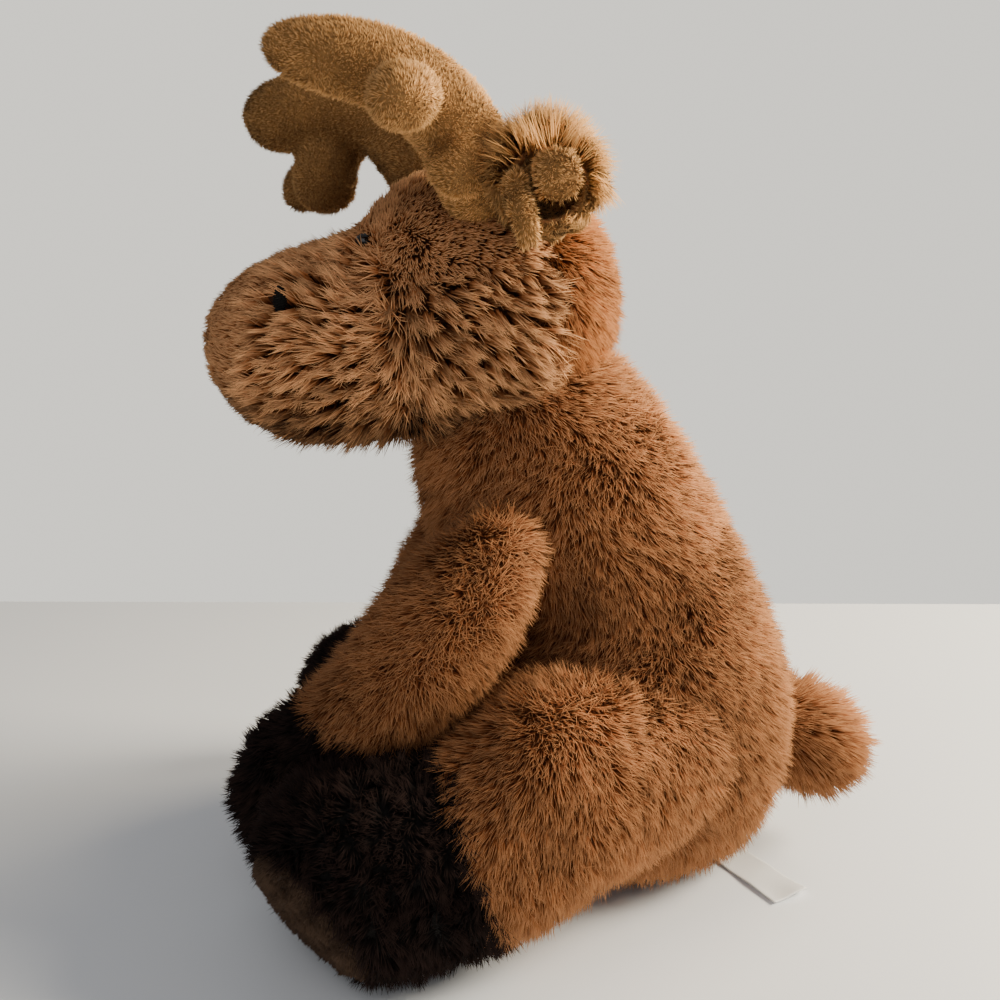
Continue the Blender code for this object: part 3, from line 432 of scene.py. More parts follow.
def strand_roots(skin, dice, density, around, share, keep):
    """Random places on the open parts of a skin, with its normal at each."""
    mesh = skin.data
    mesh.calc_loop_triangles()
    corners = np.empty(len(mesh.loop_triangles) * 3, np.int32)
    mesh.loop_triangles.foreach_get("vertices", corners)
    corners = corners.reshape(-1, 3)
    points = points_of(skin)
    normals = points_of(skin, "normal")
    buried = np.full(len(points), -1.0)
    for tree in around:
        buried = np.maximum(buried, depth_in(tree, points))
    a, b, c = (points[corners[:, k]] for k in range(3))
    middle = (a + b + c) / 3
    wanted = np.linalg.norm(np.cross(b - a, c - a), axis=1) / 2 * density * 1e6
    wanted = wanted * (1 - ease_step(0.001, 0.005, buried[corners].mean(axis=1)))
    if share is not None:
        wanted = wanted * share(middle)
    if keep is not None:
        wanted = wanted * keep(middle)
    count = np.floor(wanted + dice.random(len(wanted))).astype(int)
    rows = corners[np.repeat(np.arange(len(corners)), count)]
    one = np.sqrt(dice.random(len(rows)))
    two = dice.random(len(rows))
    weights = np.stack([1 - one, one * (1 - two), one * two], axis=1)[:, :, None]
    return (points[rows] * weights).sum(axis=1), unit((normals[rows] * weights).sum(axis=1))


def strand_mesh(name, vertices, facing, shade):
    """One mesh for all the strands, with a map along each strand and a map to bake on."""
    total, corners = vertices.shape[:2]
    if corners == 5:
        column = ((0.04, 0.45), (0.5, 0.04), (0.96, 0.45), (0.5, 0.96))
        faces = [(k + 1, 0, (k + 1) % 3 + 1, 4) for k in range(3)]
        rise = [(0.42, 0.0, 0.42, 1.0)] * 3
        flat = [[((u + k) / 3, v) for u, v in column] for k in range(3)]
    else:
        column = ((0.05, 0.05), (0.95, 0.05), (0.5, 0.95))
        faces = [(k, (k + 1) % 3, 3) for k in range(3)] + [(2, 1, 0)]
        rise = [(0.0, 0.0, 1.0)] * 3 + [(0.0, 0.0, 0.0)]
        flat = [[((u + k) / 3, v) for u, v in column] for k in range(3)]
        flat.append([(0.30, 0.60), (0.36, 0.60), (0.33, 0.90)])
    starts = np.cumsum([0] + [len(face) for face in faces])
    size = starts[-1]
    data = bpy.data.meshes.new(name)
    data.vertices.add(total * corners)
    data.vertices.foreach_set("co", vertices.ravel())
    data.loops.add(total * size)
    wound = np.arange(total)[:, None] * corners + np.concatenate(faces)
    data.loops.foreach_set("vertex_index", wound.ravel().astype(np.int32))
    data.polygons.add(total * len(faces))
    begin = np.arange(total)[:, None] * size + starts[:-1]
    data.polygons.foreach_set("loop_start", begin.ravel().astype(np.int32))
    data.update(calc_edges=True)
    data.polygons.foreach_set("use_smooth", np.ones(total * len(faces), bool))
    strand = np.empty((total, size, 2))
    strand[:, :, 0] = shade[:, None]
    strand[:, :, 1] = np.concatenate(rise)
    grid = math.ceil(math.sqrt(total))
    cell = np.stack([np.arange(total) % grid, np.arange(total) // grid], axis=1) / grid
    bake = cell[:, None, :] + np.concatenate(flat)[None] / grid
    for layer, held in (("Strand", strand), ("OFBake", bake)):
        data.uv_layers.new(name=layer).data.foreach_set("uv", held.ravel())
    data.normals_split_custom_set_from_vertices(facing.reshape(-1, 3).tolist())
    return new_object(name, data)


def pile(
    name, skin, look, flow, density, length, seed,
    width=0.0007, lift=48, locks=0.0036, pull=0.55, stray=0.22, sway=0.35, curved=False,
    around=(), share=None, keep=None, tone=None, soft=0.62, wrap=(0.0, 0.0, 0.0),
):
    """Fur of closed spindles that grow from the skin, each bent over along the flow.

    Density is per square millimetre, and length a number or a function of place. Locks is the
    size of a lock, pull how far its strands lean together, and lift their angle in degrees.
    Share thins the fur, keep leaves places out, and tone widens the shades and paints light and
    shade into them. Soft and wrap turn the strands' normals, so that the fur is lit as one form.
    """
    dice = np.random.default_rng(seed)
    root, normal = strand_roots(skin, dice, density, around, share, keep)
    total = len(root)
    way = flow(root)
    way = way + waves(root, 0.035, seed + 3) * sway + waves(root, 0.011, seed + 5) * sway * 0.6
    way = way + dice.normal(size=(total, 3)) * stray
    way = unit(way - (way * normal).sum(axis=1, keepdims=True) * normal)
    long = length(root) if callable(length) else np.full(total, float(length))
    long = long * dice.uniform(0.78, 1.12, total)
    toward, lock = lock_pull(root, locks, seed)
    long = (long * (0.86 + 0.28 * lock))[:, None]
    tilt = math.radians(lift) + (lock - 0.5) * 0.45 + dice.normal(size=total) * 0.12
    first = (tilt + 0.35)[:, None]
    second = (tilt - 0.30)[:, None]
    rise = way * np.cos(first) + normal * np.sin(first)
    fall = way * np.cos(second) + normal * np.sin(second)
    toward = toward - (toward * normal).sum(axis=1, keepdims=True) * normal
    lean = toward * (pull(root)[:, None] if callable(pull) else pull)
    bend = root + rise * (long * 0.42) + lean * 0.22
    tip = root + rise * (long * 0.42) + fall * (long * 0.58) + lean
    # Strands at a lock's edge are darker and at its middle lighter: painted shade in the gaps between
    # locks.
    painted_lock_relief = 1 - np.clip(np.linalg.norm(toward, axis=1) / (locks * 0.62), 0, 1)
    shade = 0.35 * lock + 0.25 * dice.random(total) + 0.40 * painted_lock_relief
    if tone is not None:
        spread, add = tone(root)
        shade = np.clip((shade - 0.5) * spread + 0.5 + add, -0.6, 1.6)
    root = root - normal * 0.0007
    axis = unit(tip - root)
    side = unit(np.cross(axis, normal + 0.01))
    other = np.cross(axis, side)
    phase = dice.uniform(0, math.tau, total)
    thick = width * 0.5 * dice.uniform(0.8, 1.15, total)
    thickest = bend if curved else root
    ring = []
    for k in range(3):
        angle = (phase + k * math.tau / 3)[:, None]
        push = side * np.cos(angle) + other * np.sin(angle)
        ring.append(thickest + push * thick[:, None])
    vertices = np.stack(([root] if curved else []) + ring + [tip], axis=1)
    outward = vertices - vertices.mean(axis=1, keepdims=True)
    facing = unit(outward.reshape(-1, 3)).reshape(vertices.shape)
    facing = facing * (1 - soft) + normal[:, None, :] * soft + np.array(wrap)
    vertices[:, :, 2] = np.maximum(vertices[:, :, 2], LOWEST_FUR)
    made = strand_mesh(name, vertices, facing, shade)
    made.data.materials.append(look)
    return made


# Materials


def feed(tree, socket, given):
    """Gives a socket a number or a colour, or links another socket to it."""
    if isinstance(given, (int, float, tuple)):
        socket.default_value = given
    else:
        tree.links.new(given, socket)


def set_inputs(node, values):
    for label, value in values.items():
        node.inputs[label].default_value = value


def mix_colours(tree, factor, one, two):
    mixed = tree.nodes.new("ShaderNodeMix")
    mixed.data_type = "RGBA"
    for place, given in ((0, factor), (6, one), (7, two)):
        feed(tree, mixed.inputs[place], given)
    return mixed.outputs[2]


def math_step(tree, operation, one, two):
    step = tree.nodes.new("ShaderNodeMath")
    step.operation = operation
    feed(tree, step.inputs[0], one)
    feed(tree, step.inputs[1], two)
    return step.outputs[0]


def eased_range(tree, value, start, end):
    eased = tree.nodes.new("ShaderNodeMapRange")
    eased.interpolation_type = "SMOOTHSTEP"
    set_inputs(eased, {"From Min": start, "From Max": end})
    tree.links.new(value, eased.inputs[0])
    return eased.outputs[0]


def noise_in_place(tree, scale, detail=2.0, distortion=0.0, kind="ShaderNodeTexNoise"):
    noise = tree.nodes.new(kind)
    set_inputs(noise, {"Detail": detail, "Distortion": distortion})
    feed(tree, noise.inputs["Scale"], scale)
    tree.links.new(tree.nodes.new("ShaderNodeTexCoord").outputs["Object"], noise.inputs["Vector"])
    return noise.outputs[0]


def new_group(name, colours, numbers, results):
    """A node group with its sockets, and its input and output nodes."""
    group = bpy.data.node_groups.new(name, "ShaderNodeTree")
    sockets = [(label, "INPUT", "Color") for label in colours]
    sockets += [(label, "INPUT", "Float") for label in numbers]
    for label, way, kind in sockets + [(label, "OUTPUT", kind) for label, kind in results]:
        group.interface.new_socket(label, in_out=way, socket_type="NodeSocket" + kind)
    given = group.nodes.new("NodeGroupInput").outputs
    out = group.nodes.new("NodeGroupOutput").inputs
    return group, given, out


def fibre_shades():
    """Colour along a strand: dark at its root, light at its tip, with patches and odd strands."""
    numbers = ("Patch Size", "Patch Depth", "Odd Strands")
    group, given, out = new_group(
        "fibre_shades", ("Root", "Middle", "Tip"), numbers, (("Color", "Color"),)
    )
    strand = group.nodes.new("ShaderNodeUVMap")
    strand.uv_map = "Strand"
    split = group.nodes.new("ShaderNodeSeparateXYZ")
    group.links.new(strand.outputs[0], split.inputs[0])
    low = eased_range(group, split.outputs[1], 0.0, 0.5)
    high = eased_range(group, split.outputs[1], 0.35, 0.92)
    lower = mix_colours(group, low, given["Root"], given["Middle"])
    whole = mix_colours(group, high, lower, given["Tip"])
    patch = math_step(group, "SUBTRACT", noise_in_place(group, given["Patch Size"]), 0.5)
    patch = math_step(group, "MULTIPLY", patch, given["Patch Depth"])
    odd = math_step(group, "SUBTRACT", split.outputs[0], 0.5)
    odd = math_step(group, "MULTIPLY", odd, given["Odd Strands"])
    value = math_step(group, "ADD", math_step(group, "ADD", patch, odd), 1.0)
    shade = group.nodes.new("ShaderNodeHueSaturation")
    group.links.new(whole, shade.inputs["Color"])
    group.links.new(value, shade.inputs["Value"])
    group.links.new(shade.outputs[0], out["Color"])
    return group


def backing_cloth():
    """Knitted backing with short fibres, as seen between strands."""
    results = (("Color", "Color"), ("Height", "Float"))
    group, given, out = new_group("backing_cloth", ("Dark", "Light"), (), results)
    grain = noise_in_place(group, 900.0, 3.0, 0.6)
    group.links.new(mix_colours(group, grain, given["Dark"], given["Light"]), out["Color"])
    group.links.new(grain, out["Height"])
    return group


SHADES = fibre_shades()
BACKING = backing_cloth()


def new_material(name, roughness, sheen=0.0, tint=(1, 1, 1), specular=0.3):
    made = bpy.data.materials.new(name)
    made.use_nodes = True
    shader = made.node_tree.nodes["Principled BSDF"]
    values = {"Roughness": roughness, "Specular IOR Level": specular, "Sheen Weight": sheen}
    set_inputs(shader, {**values, "Sheen Roughness": 0.45, "Sheen Tint": (*tint, 1)})
    return made, made.node_tree, shader


def fur_finish(name, root, middle, tip, patch, depth, odd, sheen):
    made, tree, shader = new_material(name, 0.75, sheen, tip, 0.12)
    shades = tree.nodes.new("ShaderNodeGroup")
    shades.node_tree = SHADES
    set_inputs(shades, {"Root": (*root, 1), "Middle": (*middle, 1), "Tip": (*tip, 1)})
    set_inputs(shades, {"Patch Size": patch, "Patch Depth": depth, "Odd Strands": odd})
    tree.links.new(shades.outputs[0], shader.inputs["Base Color"])
    return made


def backing_finish(name, dark, light):
    made, tree, shader = new_material(name, 0.9, 0.2, light)
    cloth = tree.nodes.new("ShaderNodeGroup")
    cloth.node_tree = BACKING
    set_inputs(cloth, {"Dark": (*dark, 1), "Light": (*light, 1)})
    tree.links.new(cloth.outputs["Color"], shader.inputs["Base Color"])
    bump = tree.nodes.new("ShaderNodeBump")
    bump.inputs["Distance"].default_value = 0.0006
    tree.links.new(cloth.outputs["Height"], bump.inputs["Height"])
    tree.links.new(bump.outputs[0], shader.inputs["Normal"])
    return made


def two_tone(name, roughness, dark, light, scale, sheen=0.0, specular=0.3, **pattern):
    """A finish whose colour wavers a little between two tones."""
    made, tree, shader = new_material(name, roughness, sheen, specular=specular)
    tone = mix_colours(tree, noise_in_place(tree, scale, **pattern), (*dark, 1), (*light, 1))
    tree.links.new(tone, shader.inputs["Base Color"])
    return made


BODY_FUR = fur_finish(
    "body_fur", (0.062, 0.015, 0.0045), (0.235, 0.072, 0.0215), (0.54, 0.250, 0.108), 28, 0.8, 0.6, 0.06
)
HEAD_FUR = fur_finish(
    "head_fur", (0.050, 0.012, 0.003), (0.235, 0.073, 0.021), (0.72, 0.37, 0.170), 28, 0.45, 1.2, 0.06
)
REAR_FUR = fur_finish(
    "rear_panel_fur", (0.095, 0.022, 0.006), (0.32, 0.095, 0.026), (0.56, 0.235, 0.085), 28, 0.4, 0.5, 0.1
)
# Golden ear fur. Part of its lightness, most of all at the roots, is painted glow of back light shining
# through the strands.
EAR_FUR = fur_finish(
    "ear_fur", (0.42, 0.175, 0.048), (0.70, 0.335, 0.105), (0.88, 0.48, 0.185), 28, 0.3, 0.5, 0
)
VELVET = fur_finish(
    "antler_pile", (0.05, 0.020, 0.005), (0.28, 0.125, 0.036), (0.76, 0.42, 0.165), 40, 0.9, 1.1, 0
)
HOOF_FUR = fur_finish(
    "hoof_fur", (0.0015, 0.0007, 0.0005), (0.006, 0.0032, 0.0026), (0.030, 0.016, 0.013), 60, 0.8, 0.8, 0
)
SOLE_PILE = fur_finish(
    "sole_pile", (0.012, 0.007, 0.004), (0.045, 0.026, 0.016), (0.085, 0.052, 0.034), 90, 0.5, 0.5, 0.25
)
BODY_BACK = backing_finish("body_backing", (0.05, 0.016, 0.004), (0.15, 0.050, 0.013))
HEAD_BACK = backing_finish("head_backing", (0.03, 0.009, 0.003), (0.09, 0.030, 0.010))
VELVET_BACK = backing_finish("antler_velvet", (0.15, 0.070, 0.020), (0.36, 0.19, 0.065))
HOOF_BACK = backing_finish("hoof_backing", (0.001, 0.0006, 0.0005), (0.004, 0.0022, 0.0016))
EAR_BACK = backing_finish("ear_backing", (0.20, 0.080, 0.028), (0.42, 0.19, 0.070))
SOLE_BACK = backing_finish("sole_backing", (0.020, 0.011, 0.007), (0.055, 0.032, 0.020))


# Camera, table and light


def set_camera():
    turn = math.radians(6)
    pitch = math.radians(13)
    flat = math.cos(pitch)
    aim = Vector((-math.cos(turn) * flat, math.sin(turn) * flat, -math.sin(pitch)))
    data = bpy.data.cameras.new("camera")
    data.sensor_width = 36
    data.lens = 43.2
    data.clip_start = 0.01
    made = new_object("camera", data)
    made.location = (0.4192, -0.0632, 0.24)
    made.rotation_euler = aim.to_track_quat("-Z", "Y").to_euler()
    bpy.context.scene.camera = made


def set_table():
    """A pale table that ends behind the toy where the photograph's does."""
    deselect()
    bpy.ops.mesh.primitive_plane_add(size=1, location=(0.685, 0, 0))
    table = bpy.context.object
    table.name = "table"
    table.scale = (2, 4, 1)
    table.rotation_euler = (0, 0, math.radians(-6.5))
    settle(table)
    pale = two_tone("pale_table", 0.35, (0.85, 0.87, 0.91), (0.90, 0.92, 0.95), 2.0)
    table.data.materials.append(pale)


def add_light(name, place, aim, power, size, colour):
    data = bpy.data.lights.new(name, "AREA")
    data.energy = power
    data.size = size
    data.color = colour
    made = new_object(name, data)
    made.location = place
    made.rotation_euler = (Vector(aim) - Vector(place)).to_track_quat("-Z", "Y").to_euler()


def set_lights():
    """Warm windows behind the toy, a weak fill in front, and a wall that only the camera sees."""
    add_light("window", (0.16, 0.90, 0.66), (0, 0, 0.14), 24.0, 0.45, (1.0, 0.89, 0.70))
    add_light("far_window", (-0.45, 0.75, 0.50), (0, 0, 0.16), 8.0, 0.4, (1.0, 0.84, 0.58))
    add_light("front_fill", (0.9, -0.3, 0.9), (0, 0, 0.12), 3.0, 0.9, (1.0, 0.98, 0.96))
    world = bpy.data.worlds.new("studio")
    world.use_nodes = True
    nodes = world.node_tree.nodes
    link = world.node_tree.links.new
    room = nodes["Background"]
    set_inputs(room, {"Color": (0.92, 0.93, 0.95, 1), "Strength": 0.31})
    wall = nodes.new("ShaderNodeBackground")
    set_inputs(wall, {"Color": (0.92, 0.89, 0.81, 1), "Strength": 1.2})
    ray = nodes.new("ShaderNodeLightPath")
    both = nodes.new("ShaderNodeMixShader")
    link(ray.outputs["Is Camera Ray"], both.inputs[0])
    link(room.outputs[0], both.inputs[1])
    link(wall.outputs[0], both.inputs[2])
    link(both.outputs[0], nodes["World Output"].inputs["Surface"])
    bpy.context.scene.world = world


# Forms of the covers


def torso_whole():
    """The body, pressed in between arm and thigh."""
    made = stuffed_skin("torso_skin", TORSO_RINGS, (0, 0, 1), 32, 0.0055, 0.003)
    points = points_of(made)
    flank = np.abs(points[:, 0]) > 0.02
    for y, z, wide, deep in FOLD_SPOTS:
        near = np.exp(-(((points[:, 1] - y) / wide) ** 2) - ((points[:, 2] - z) / wide) ** 2)
        points[:, 0] -= np.sign(points[:, 0]) * deep * near * flank
    put_points(made, points)
    return made


def head_whole():
    """The head, with a shallow valley at the seam behind the cheeks."""
    made = stuffed_skin("head_whole", HEAD_RINGS, (0, -1, 0), 32, 0.005, 0.002)
    points = points_of(made)
    normals = points_of(made, "normal")
    valley = np.exp(-(((points[:, 1] - HEAD_SEAM_Y) / HEAD_SEAM_WIDE) ** 2))
    put_points(made, points - normals * (HEAD_SEAM_DEEP * valley)[:, None])
    return made


def foreleg_whole(side, word):
    """An arm. The right one is set further back."""
    rings = []
    for x, y, z, wide, thick in FORELEG_RINGS:
        reach = (-0.014 - y) / 0.088
        back = FAR_SHOULDER_BACK * (1 - reach) + FAR_FORE_HOOF_BACK * reach if side < 0 else 0
        rings.append((side * x, y + back, z, wide, thick))
    travel = Vector(rings[-1][:3]) - Vector(rings[0][:3])
    return stuffed_skin("foreleg_whole_" + word, rings, travel, 24, 0.0045, 0.002)


def hind_leg_whole(side, word):
    """A leg, with square corners at its front. The right hoof is splayed a little more."""
    rings = []
    for x, y, z, wide, tall in HIND_LEG_RINGS:
        turned = min(max((-0.035 - y) / 0.07, 0), 1) if side < 0 else 0
        place = (side * (x + FAR_HOOF_OUT * turned), y + FAR_HOOF_BACK * turned, z)
        rings.append((*place, wide, tall))
    name = "hind_leg_whole_" + word
    return stuffed_skin(name, rings, (0, -1, 0), 28, 0.005, 0.0025, corners=(0.010, 0.16))


def stuffed_tube(name, points):
    """A tube along a smooth line, with its own thickness at each point."""
    deselect()
    bpy.ops.curve.primitive_bezier_curve_add()
    made = bpy.context.object
    made.name = name
    line = made.data
    line.splines.clear()
    spline = line.splines.new("BEZIER")
    spline.bezier_points.add(len(points) - 1)
    for knot, (x, y, z, radius) in zip(spline.bezier_points, points):
        knot.co = (x, y, z)
        knot.radius = radius
        knot.handle_left_type = "AUTO"
        knot.handle_right_type = "AUTO"
    line.dimensions = "3D"
    line.bevel_depth = 1.0
    line.bevel_resolution = 6
    line.use_fill_caps = True
    line.resolution_u = 6
    bpy.ops.object.convert(target="MESH")
    return settle(bpy.context.object)


def antler_beam(side, word):
    """The beam. The right one leans forward, hangs lower, and has a fuller root and tip."""
    rows = []
    for x, y, z, radius in BEAM_POINTS:
        if side < 0:
            rise = (z - 0.243) / 0.045
            reach = (-0.030 - y) / 0.059
            low = math.sin(math.pi * min(max(rise * 1.4, 0), 1))
            y -= FAR_ANTLER_LEAN * rise + 0.005 * low
            z -= FAR_ANTLER_DROOP * reach**2
            radius *= (1 + 0.46 * reach**2) * (1 + 0.16 * low)
        rows.append((side * x, y, z, radius - ANTLER_INSET))
    return stuffed_tube("antler_beam_" + word, rows)


def antler_finger(name, root, way, length, thickness):
    way = Vector(way).normalized()
    rows = []
    for along, fat in FINGER_SHARES:
        place = Vector(root) + way * (length - ANTLER_INSET) * along
        half = max(fat * thickness / 2 - ANTLER_INSET, 0.002)
        rows.append((*place, half, half))
    return rounded(ringed_skin(name, rows, way, (0, 0.1, 1), segments=20))


def antler_whole(side, word):
    parts = [antler_beam(side, word)]
    for label, row in zip(("tine_", "lobe_"), ANTLER_FINGERS[word]):
        parts.append(antler_finger("antler_" + label + word, *row))
    made = joined("antler_skin_" + word, *parts)
    even_cloth(made, 0.0022, 2)
    return stuffed(made, 0.001, 3.0)


def ear_place(side):
    """The ear's root and the way that its middle line points."""
    up = math.radians(24)
    turn = math.radians(10)
    flat = math.cos(up)
    way = Vector((side * flat * math.cos(turn), -flat * math.sin(turn), math.sin(up)))
    return Vector((side * 0.0365, -0.008, 0.245)), way


def ear_point(side, back, rise, out):
    """A place in the ear: back and rise across its opening, out along its axis."""
    place, way = ear_place(side)
    rearward = (Vector((0, 1, 0)) - way * way.y).normalized()
    upward = rearward.cross(way) * side
    if upward.z < 0:
        upward = -upward
    return place + rearward * back + upward * rise + way * out


def ear_out(points, side):
    """How far out along the ear's middle line each point lies."""
    place, way = ear_place(side)
    return (points - np.array(place)) @ np.array(way)


def ear_outside(points, side):
    """How far each point lies from the ear's middle line. Its root counts as far."""
    place, way = ear_place(side)
    out = ear_out(points, side)
    upward = np.array(ear_point(side, 0, 1, 0) - place)
    middle = np.array(place) + out[:, None] * np.array(way) - 0.16 * out[:, None] * upward
    return np.linalg.norm(points - middle, axis=1) + 0.02 * (out < 0.009)


def ear_shell(side, word):
    """The furry cup, with a hollow that the lining fills."""
    rings = [(*ear_point(side, 0, -0.13 * out, out), half, half * 1.02) for out, half in EAR_CUP]
    way = ear_place(side)[1]
    return rounded(ringed_skin("ear_skin_" + word, rings, way, (0, 1, 0), segments=24))


def ear_pillow(name, side, rows, across, segments=14):
    """A small stuffed fold along a line of places in the ear."""
    rings = [(*ear_point(side, *place), wide, tall) for *place, wide, tall in rows]
    travel = Vector(rings[-1][:3]) - Vector(rings[0][:3])
    return rounded(ringed_skin(name, rings, travel, across, segments=segments))


def ear_lining(side, word):
    """The velvet lining: a bowl, a fold that hangs over it, and a rolled front edge."""
    bowl = ear_pillow("bowl_" + word, side, EAR_BOWL, (0, 1, 0), 20)
    fold = ear_pillow("fold_" + word, side, EAR_FOLD, (0, 1, 0.25))
    edge = ear_pillow("strip_" + word, side, EAR_EDGE, ear_place(side)[1])
    return joined("ear_lining_skin_" + word, bowl, fold, edge)


def eye_bead(side, word):
    """A glossy safety eye: a low dome on a thin rim, sunk in the fur."""
    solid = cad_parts["eye_" + word]
    top = max(vertex.co.z for vertex in solid.data.vertices)
    middle = Vector((side * 0.0199, -0.0655, top - 0.0076))
    way = Vector((side * 0.55, -0.45, 0.70)).normalized()
    deselect()
    bpy.ops.mesh.primitive_uv_sphere_add(segments=32, ring_count=20, radius=EYE_RADIUS)
    made = bpy.context.object
    made.name = "eye_bead_" + word
    points = points_of(made)
    rim = ease_step(-0.0012, -0.0004, points[:, 2]) - ease_step(-0.0004, 0.0006, points[:, 2])
    points[:, :2] *= (1 + 0.07 * rim)[:, None]
    points[:, 2] = np.where(points[:, 2] > 0, points[:, 2] * 0.92, points[:, 2] * 0.7)
    put_points(made, points)
    made.matrix_world = Matrix.Translation(middle) @ way_basis(way, (0, 1, 0)).to_4x4()
    return settle(made)


def nostril_spot(side, word):
    """Satin stitches side by side over a small oval."""
    low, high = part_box("nostril_stitch_" + word)
    middle = (Vector(low) + Vector(high)) / 2
    threads = []
    for k in range(11):
        share = (k - 5) / 5.4
        half = 0.0025 * math.sqrt(max(1 - share**2, 0.05))
        deselect()
        bpy.ops.mesh.primitive_uv_sphere_add(segments=10, ring_count=8, radius=1)
        thread = bpy.context.object
        thread.scale = (0.0010, half, 0.00062)
        thread.location = middle + Vector((side * 0.0006, 0.0, share * 0.0044))
        thread.rotation_euler = (0.25, 0, 0)
        threads.append(settle(thread))
    return joined("nostril_threads_" + word, *threads)


def satin_label():
    """A bare satin strip that lies on the table and curls a little."""
    turn = math.radians(22)
    along = np.array((math.cos(turn), math.sin(turn), 0))
    side = np.array((-math.sin(turn), math.cos(turn), 0))
    deselect()
    bpy.ops.mesh.primitive_grid_add(x_subdivisions=48, y_subdivisions=16, size=1)
    made = bpy.context.object
    made.name = "label_strip"
    points = points_of(made)
    run = (points[:, 0] + 0.5) * LABEL_LONG
    across = points[:, 1] * LABEL_WIDE
    curl = ease_step(0.030, LABEL_LONG, run) * (0.6 + 0.4 * np.sin(across * 300))
    lift = 0.0009 + 0.0016 * curl + 0.0003 * np.sin(run * 260 + across * 90)
    place = np.array((-0.004, 0.0655, 0)) + run[:, None] * along + across[:, None] * side
    put_points(made, place + lift[:, None] * np.array((0, 0, 1)))
    choose(made)
    body = made.modifiers.new("cloth_thickness", "SOLIDIFY")
    body.thickness = 0.0003
    body.offset = 0
    bpy.ops.object.modifier_apply(modifier=body.name)
    return settle(made)


# The way that the fur lies, its length, its tone with painted light and shade, and where it grows


def down_flow(points):
    return np.tile((0.0, -0.12, -1.0), (len(points), 1))


def head_flow(points):
    """Out from the middle of the cheek: forwards over the muzzle, back over the cheek."""
    x, y, z = points.T
    along = np.tanh((y + 0.052) / 0.014)
    muzzle = 1 - ease_step(-0.066, -0.044, y)
    rise = (0.95 * ease_step(0.165, 0.230, z) - 0.5) * muzzle - 0.55 * (1 - muzzle)
    crown = ease_step(0.232, 0.250, z)
    along = along * (1 - crown) + 0.8 * crown
    return np.stack([0.2 * np.sign(x) * (1 - crown), along, rise], axis=1)


def head_long(points):
    """1 on the cheeks and the sides of the muzzle, 0 on its top and front and on the brow."""
    x, y, z = points.T
    top_y = (-0.100, -0.0985, -0.089, -0.068, -0.055, -0.014)
    top = np.interp(y, top_y, (0.205, 0.213, 0.225, 0.234, 0.226, 0.232))
    front_z = (0.170, 0.178, 0.189, 0.201, 0.213)
    front = np.interp(z, front_z, (-0.085, -0.093, -0.1035, -0.0985, -0.0985))
    soft = np.interp(y, (-0.066, -0.050), (0.0015, 0.012))
    long = ease_step(0.0, 1.0, (top - z) / soft) * ease_step(-0.0010, 0.0010, y - front)
    return long * ease_step(0.012, 0.022, np.abs(x)) * ease_step(0.158, 0.168, z)


def head_length(points):
    return 0.0046 + 0.0072 * head_long(points)


def head_tone_and_painted_light(points):
    """Even on the brow, mixed on the cheeks. Painted light on the muzzle's side and painted shade under
    it; the brow a little lighter.
    """
    x, y, z = points.T
    side = head_long(points)
    # Painted light on the muzzle's side, painted shade under the muzzle.
    muzzle = side * (1 - ease_step(-0.066, -0.050, y))
    under = 1 - ease_step(0.176, 0.194, z)
    brow = ease_step(-0.085, -0.060, y) * (1 - side)
    return 0.40 + 0.85 * side, 0.14 * brow + 0.26 * muzzle - 0.04 * side - 0.60 * under


def body_painted_shade_and_light(points):
    """Painted shade in the creases between arm, thigh and body, low down and at the rear; painted light
    on the shoulders.
    """
    x, y, z = points.T
    # Painted shade: how near each root lies to a crease.
    deep = sum(
        np.exp(-(((y - a) / wide) ** 2) - ((z - b) / wide) ** 2) for a, b, wide, _ in FOLD_SPOTS
    )
    deep = np.clip(deep, 0, 1) * ease_step(0.02, 0.03, np.abs(x)) * (1 - ease_step(-0.004, 0.020, y))
    lit = 0.12 * ease_step(0.135, 0.160, z) - 0.10 * ease_step(0.045, 0.075, y)
    return 1.35, lit - 0.9 * deep - 0.08 * (1 - ease_step(0.120, 0.145, z))


def rear_flow(points):
    return np.tile((0.0, 0.35, -1.0), (len(points), 1)) + points * (3.0, 0, 0)


def arm_flow(points):
    """As on the body at the shoulder, then along the arm."""
    x, y, z = points.T
    arm = 1 - ease_step(0.100, 0.135, z)
    return np.stack([0.25 * np.sign(x) * arm, -0.12 - 0.33 * arm, -1.0 + 0.2 * arm], axis=1)


# Painted shade: the arm a little darker all over and much darker low down.
def arm_painted_shade(points):
    return 1.0, -0.15 - 0.35 * (1 - ease_step(0.085, 0.105, points[:, 2]))


def thigh_flow(points):
    """Down like the body's at the haunch, and forwards and down over the knee."""
    x, y, z = points.T
    knee = 1 - ease_step(-0.020, 0.025, y)
    return np.stack([0.15 * np.sign(x) * knee, -0.12 - 0.45 * knee, -1.0 + 0 * z], axis=1)


def thigh_painted_shade(points):
    """Painted shade on top of the knee, under the arm."""
    x, y, z = points.T
    return 1.0, -0.22 * (1 - ease_step(-0.050, -0.020, y)) * ease_step(0.075, 0.090, z)


def tail_flow(points):
    spread = points - np.array((0, 0.085, 0.050))
    return unit(spread) + np.array((0, 0.5, -0.5))


def curly_flow(seed):
    return lambda points: waves(points, 0.012, seed) + np.array((0, -0.2, -0.4))


def velvet_flow(points):
    return waves(points, 0.02, 91) + np.array((0, -0.6, 0.2))


def ear_flow(side):
    """Outwards all round the ear's middle line, and out along it."""
    place, way = ear_place(side)
    axis = np.array(way)

    def flow(spots):
        spread = spots - np.array(place)
        radial = spread - (spread @ axis)[:, None] * axis
        return unit(radial) * 1.1 + axis * 0.35

    return flow


def ear_length(points):
    return 0.0044 + 0.0098 * ease_step(0.242, 0.262, points[:, 2])


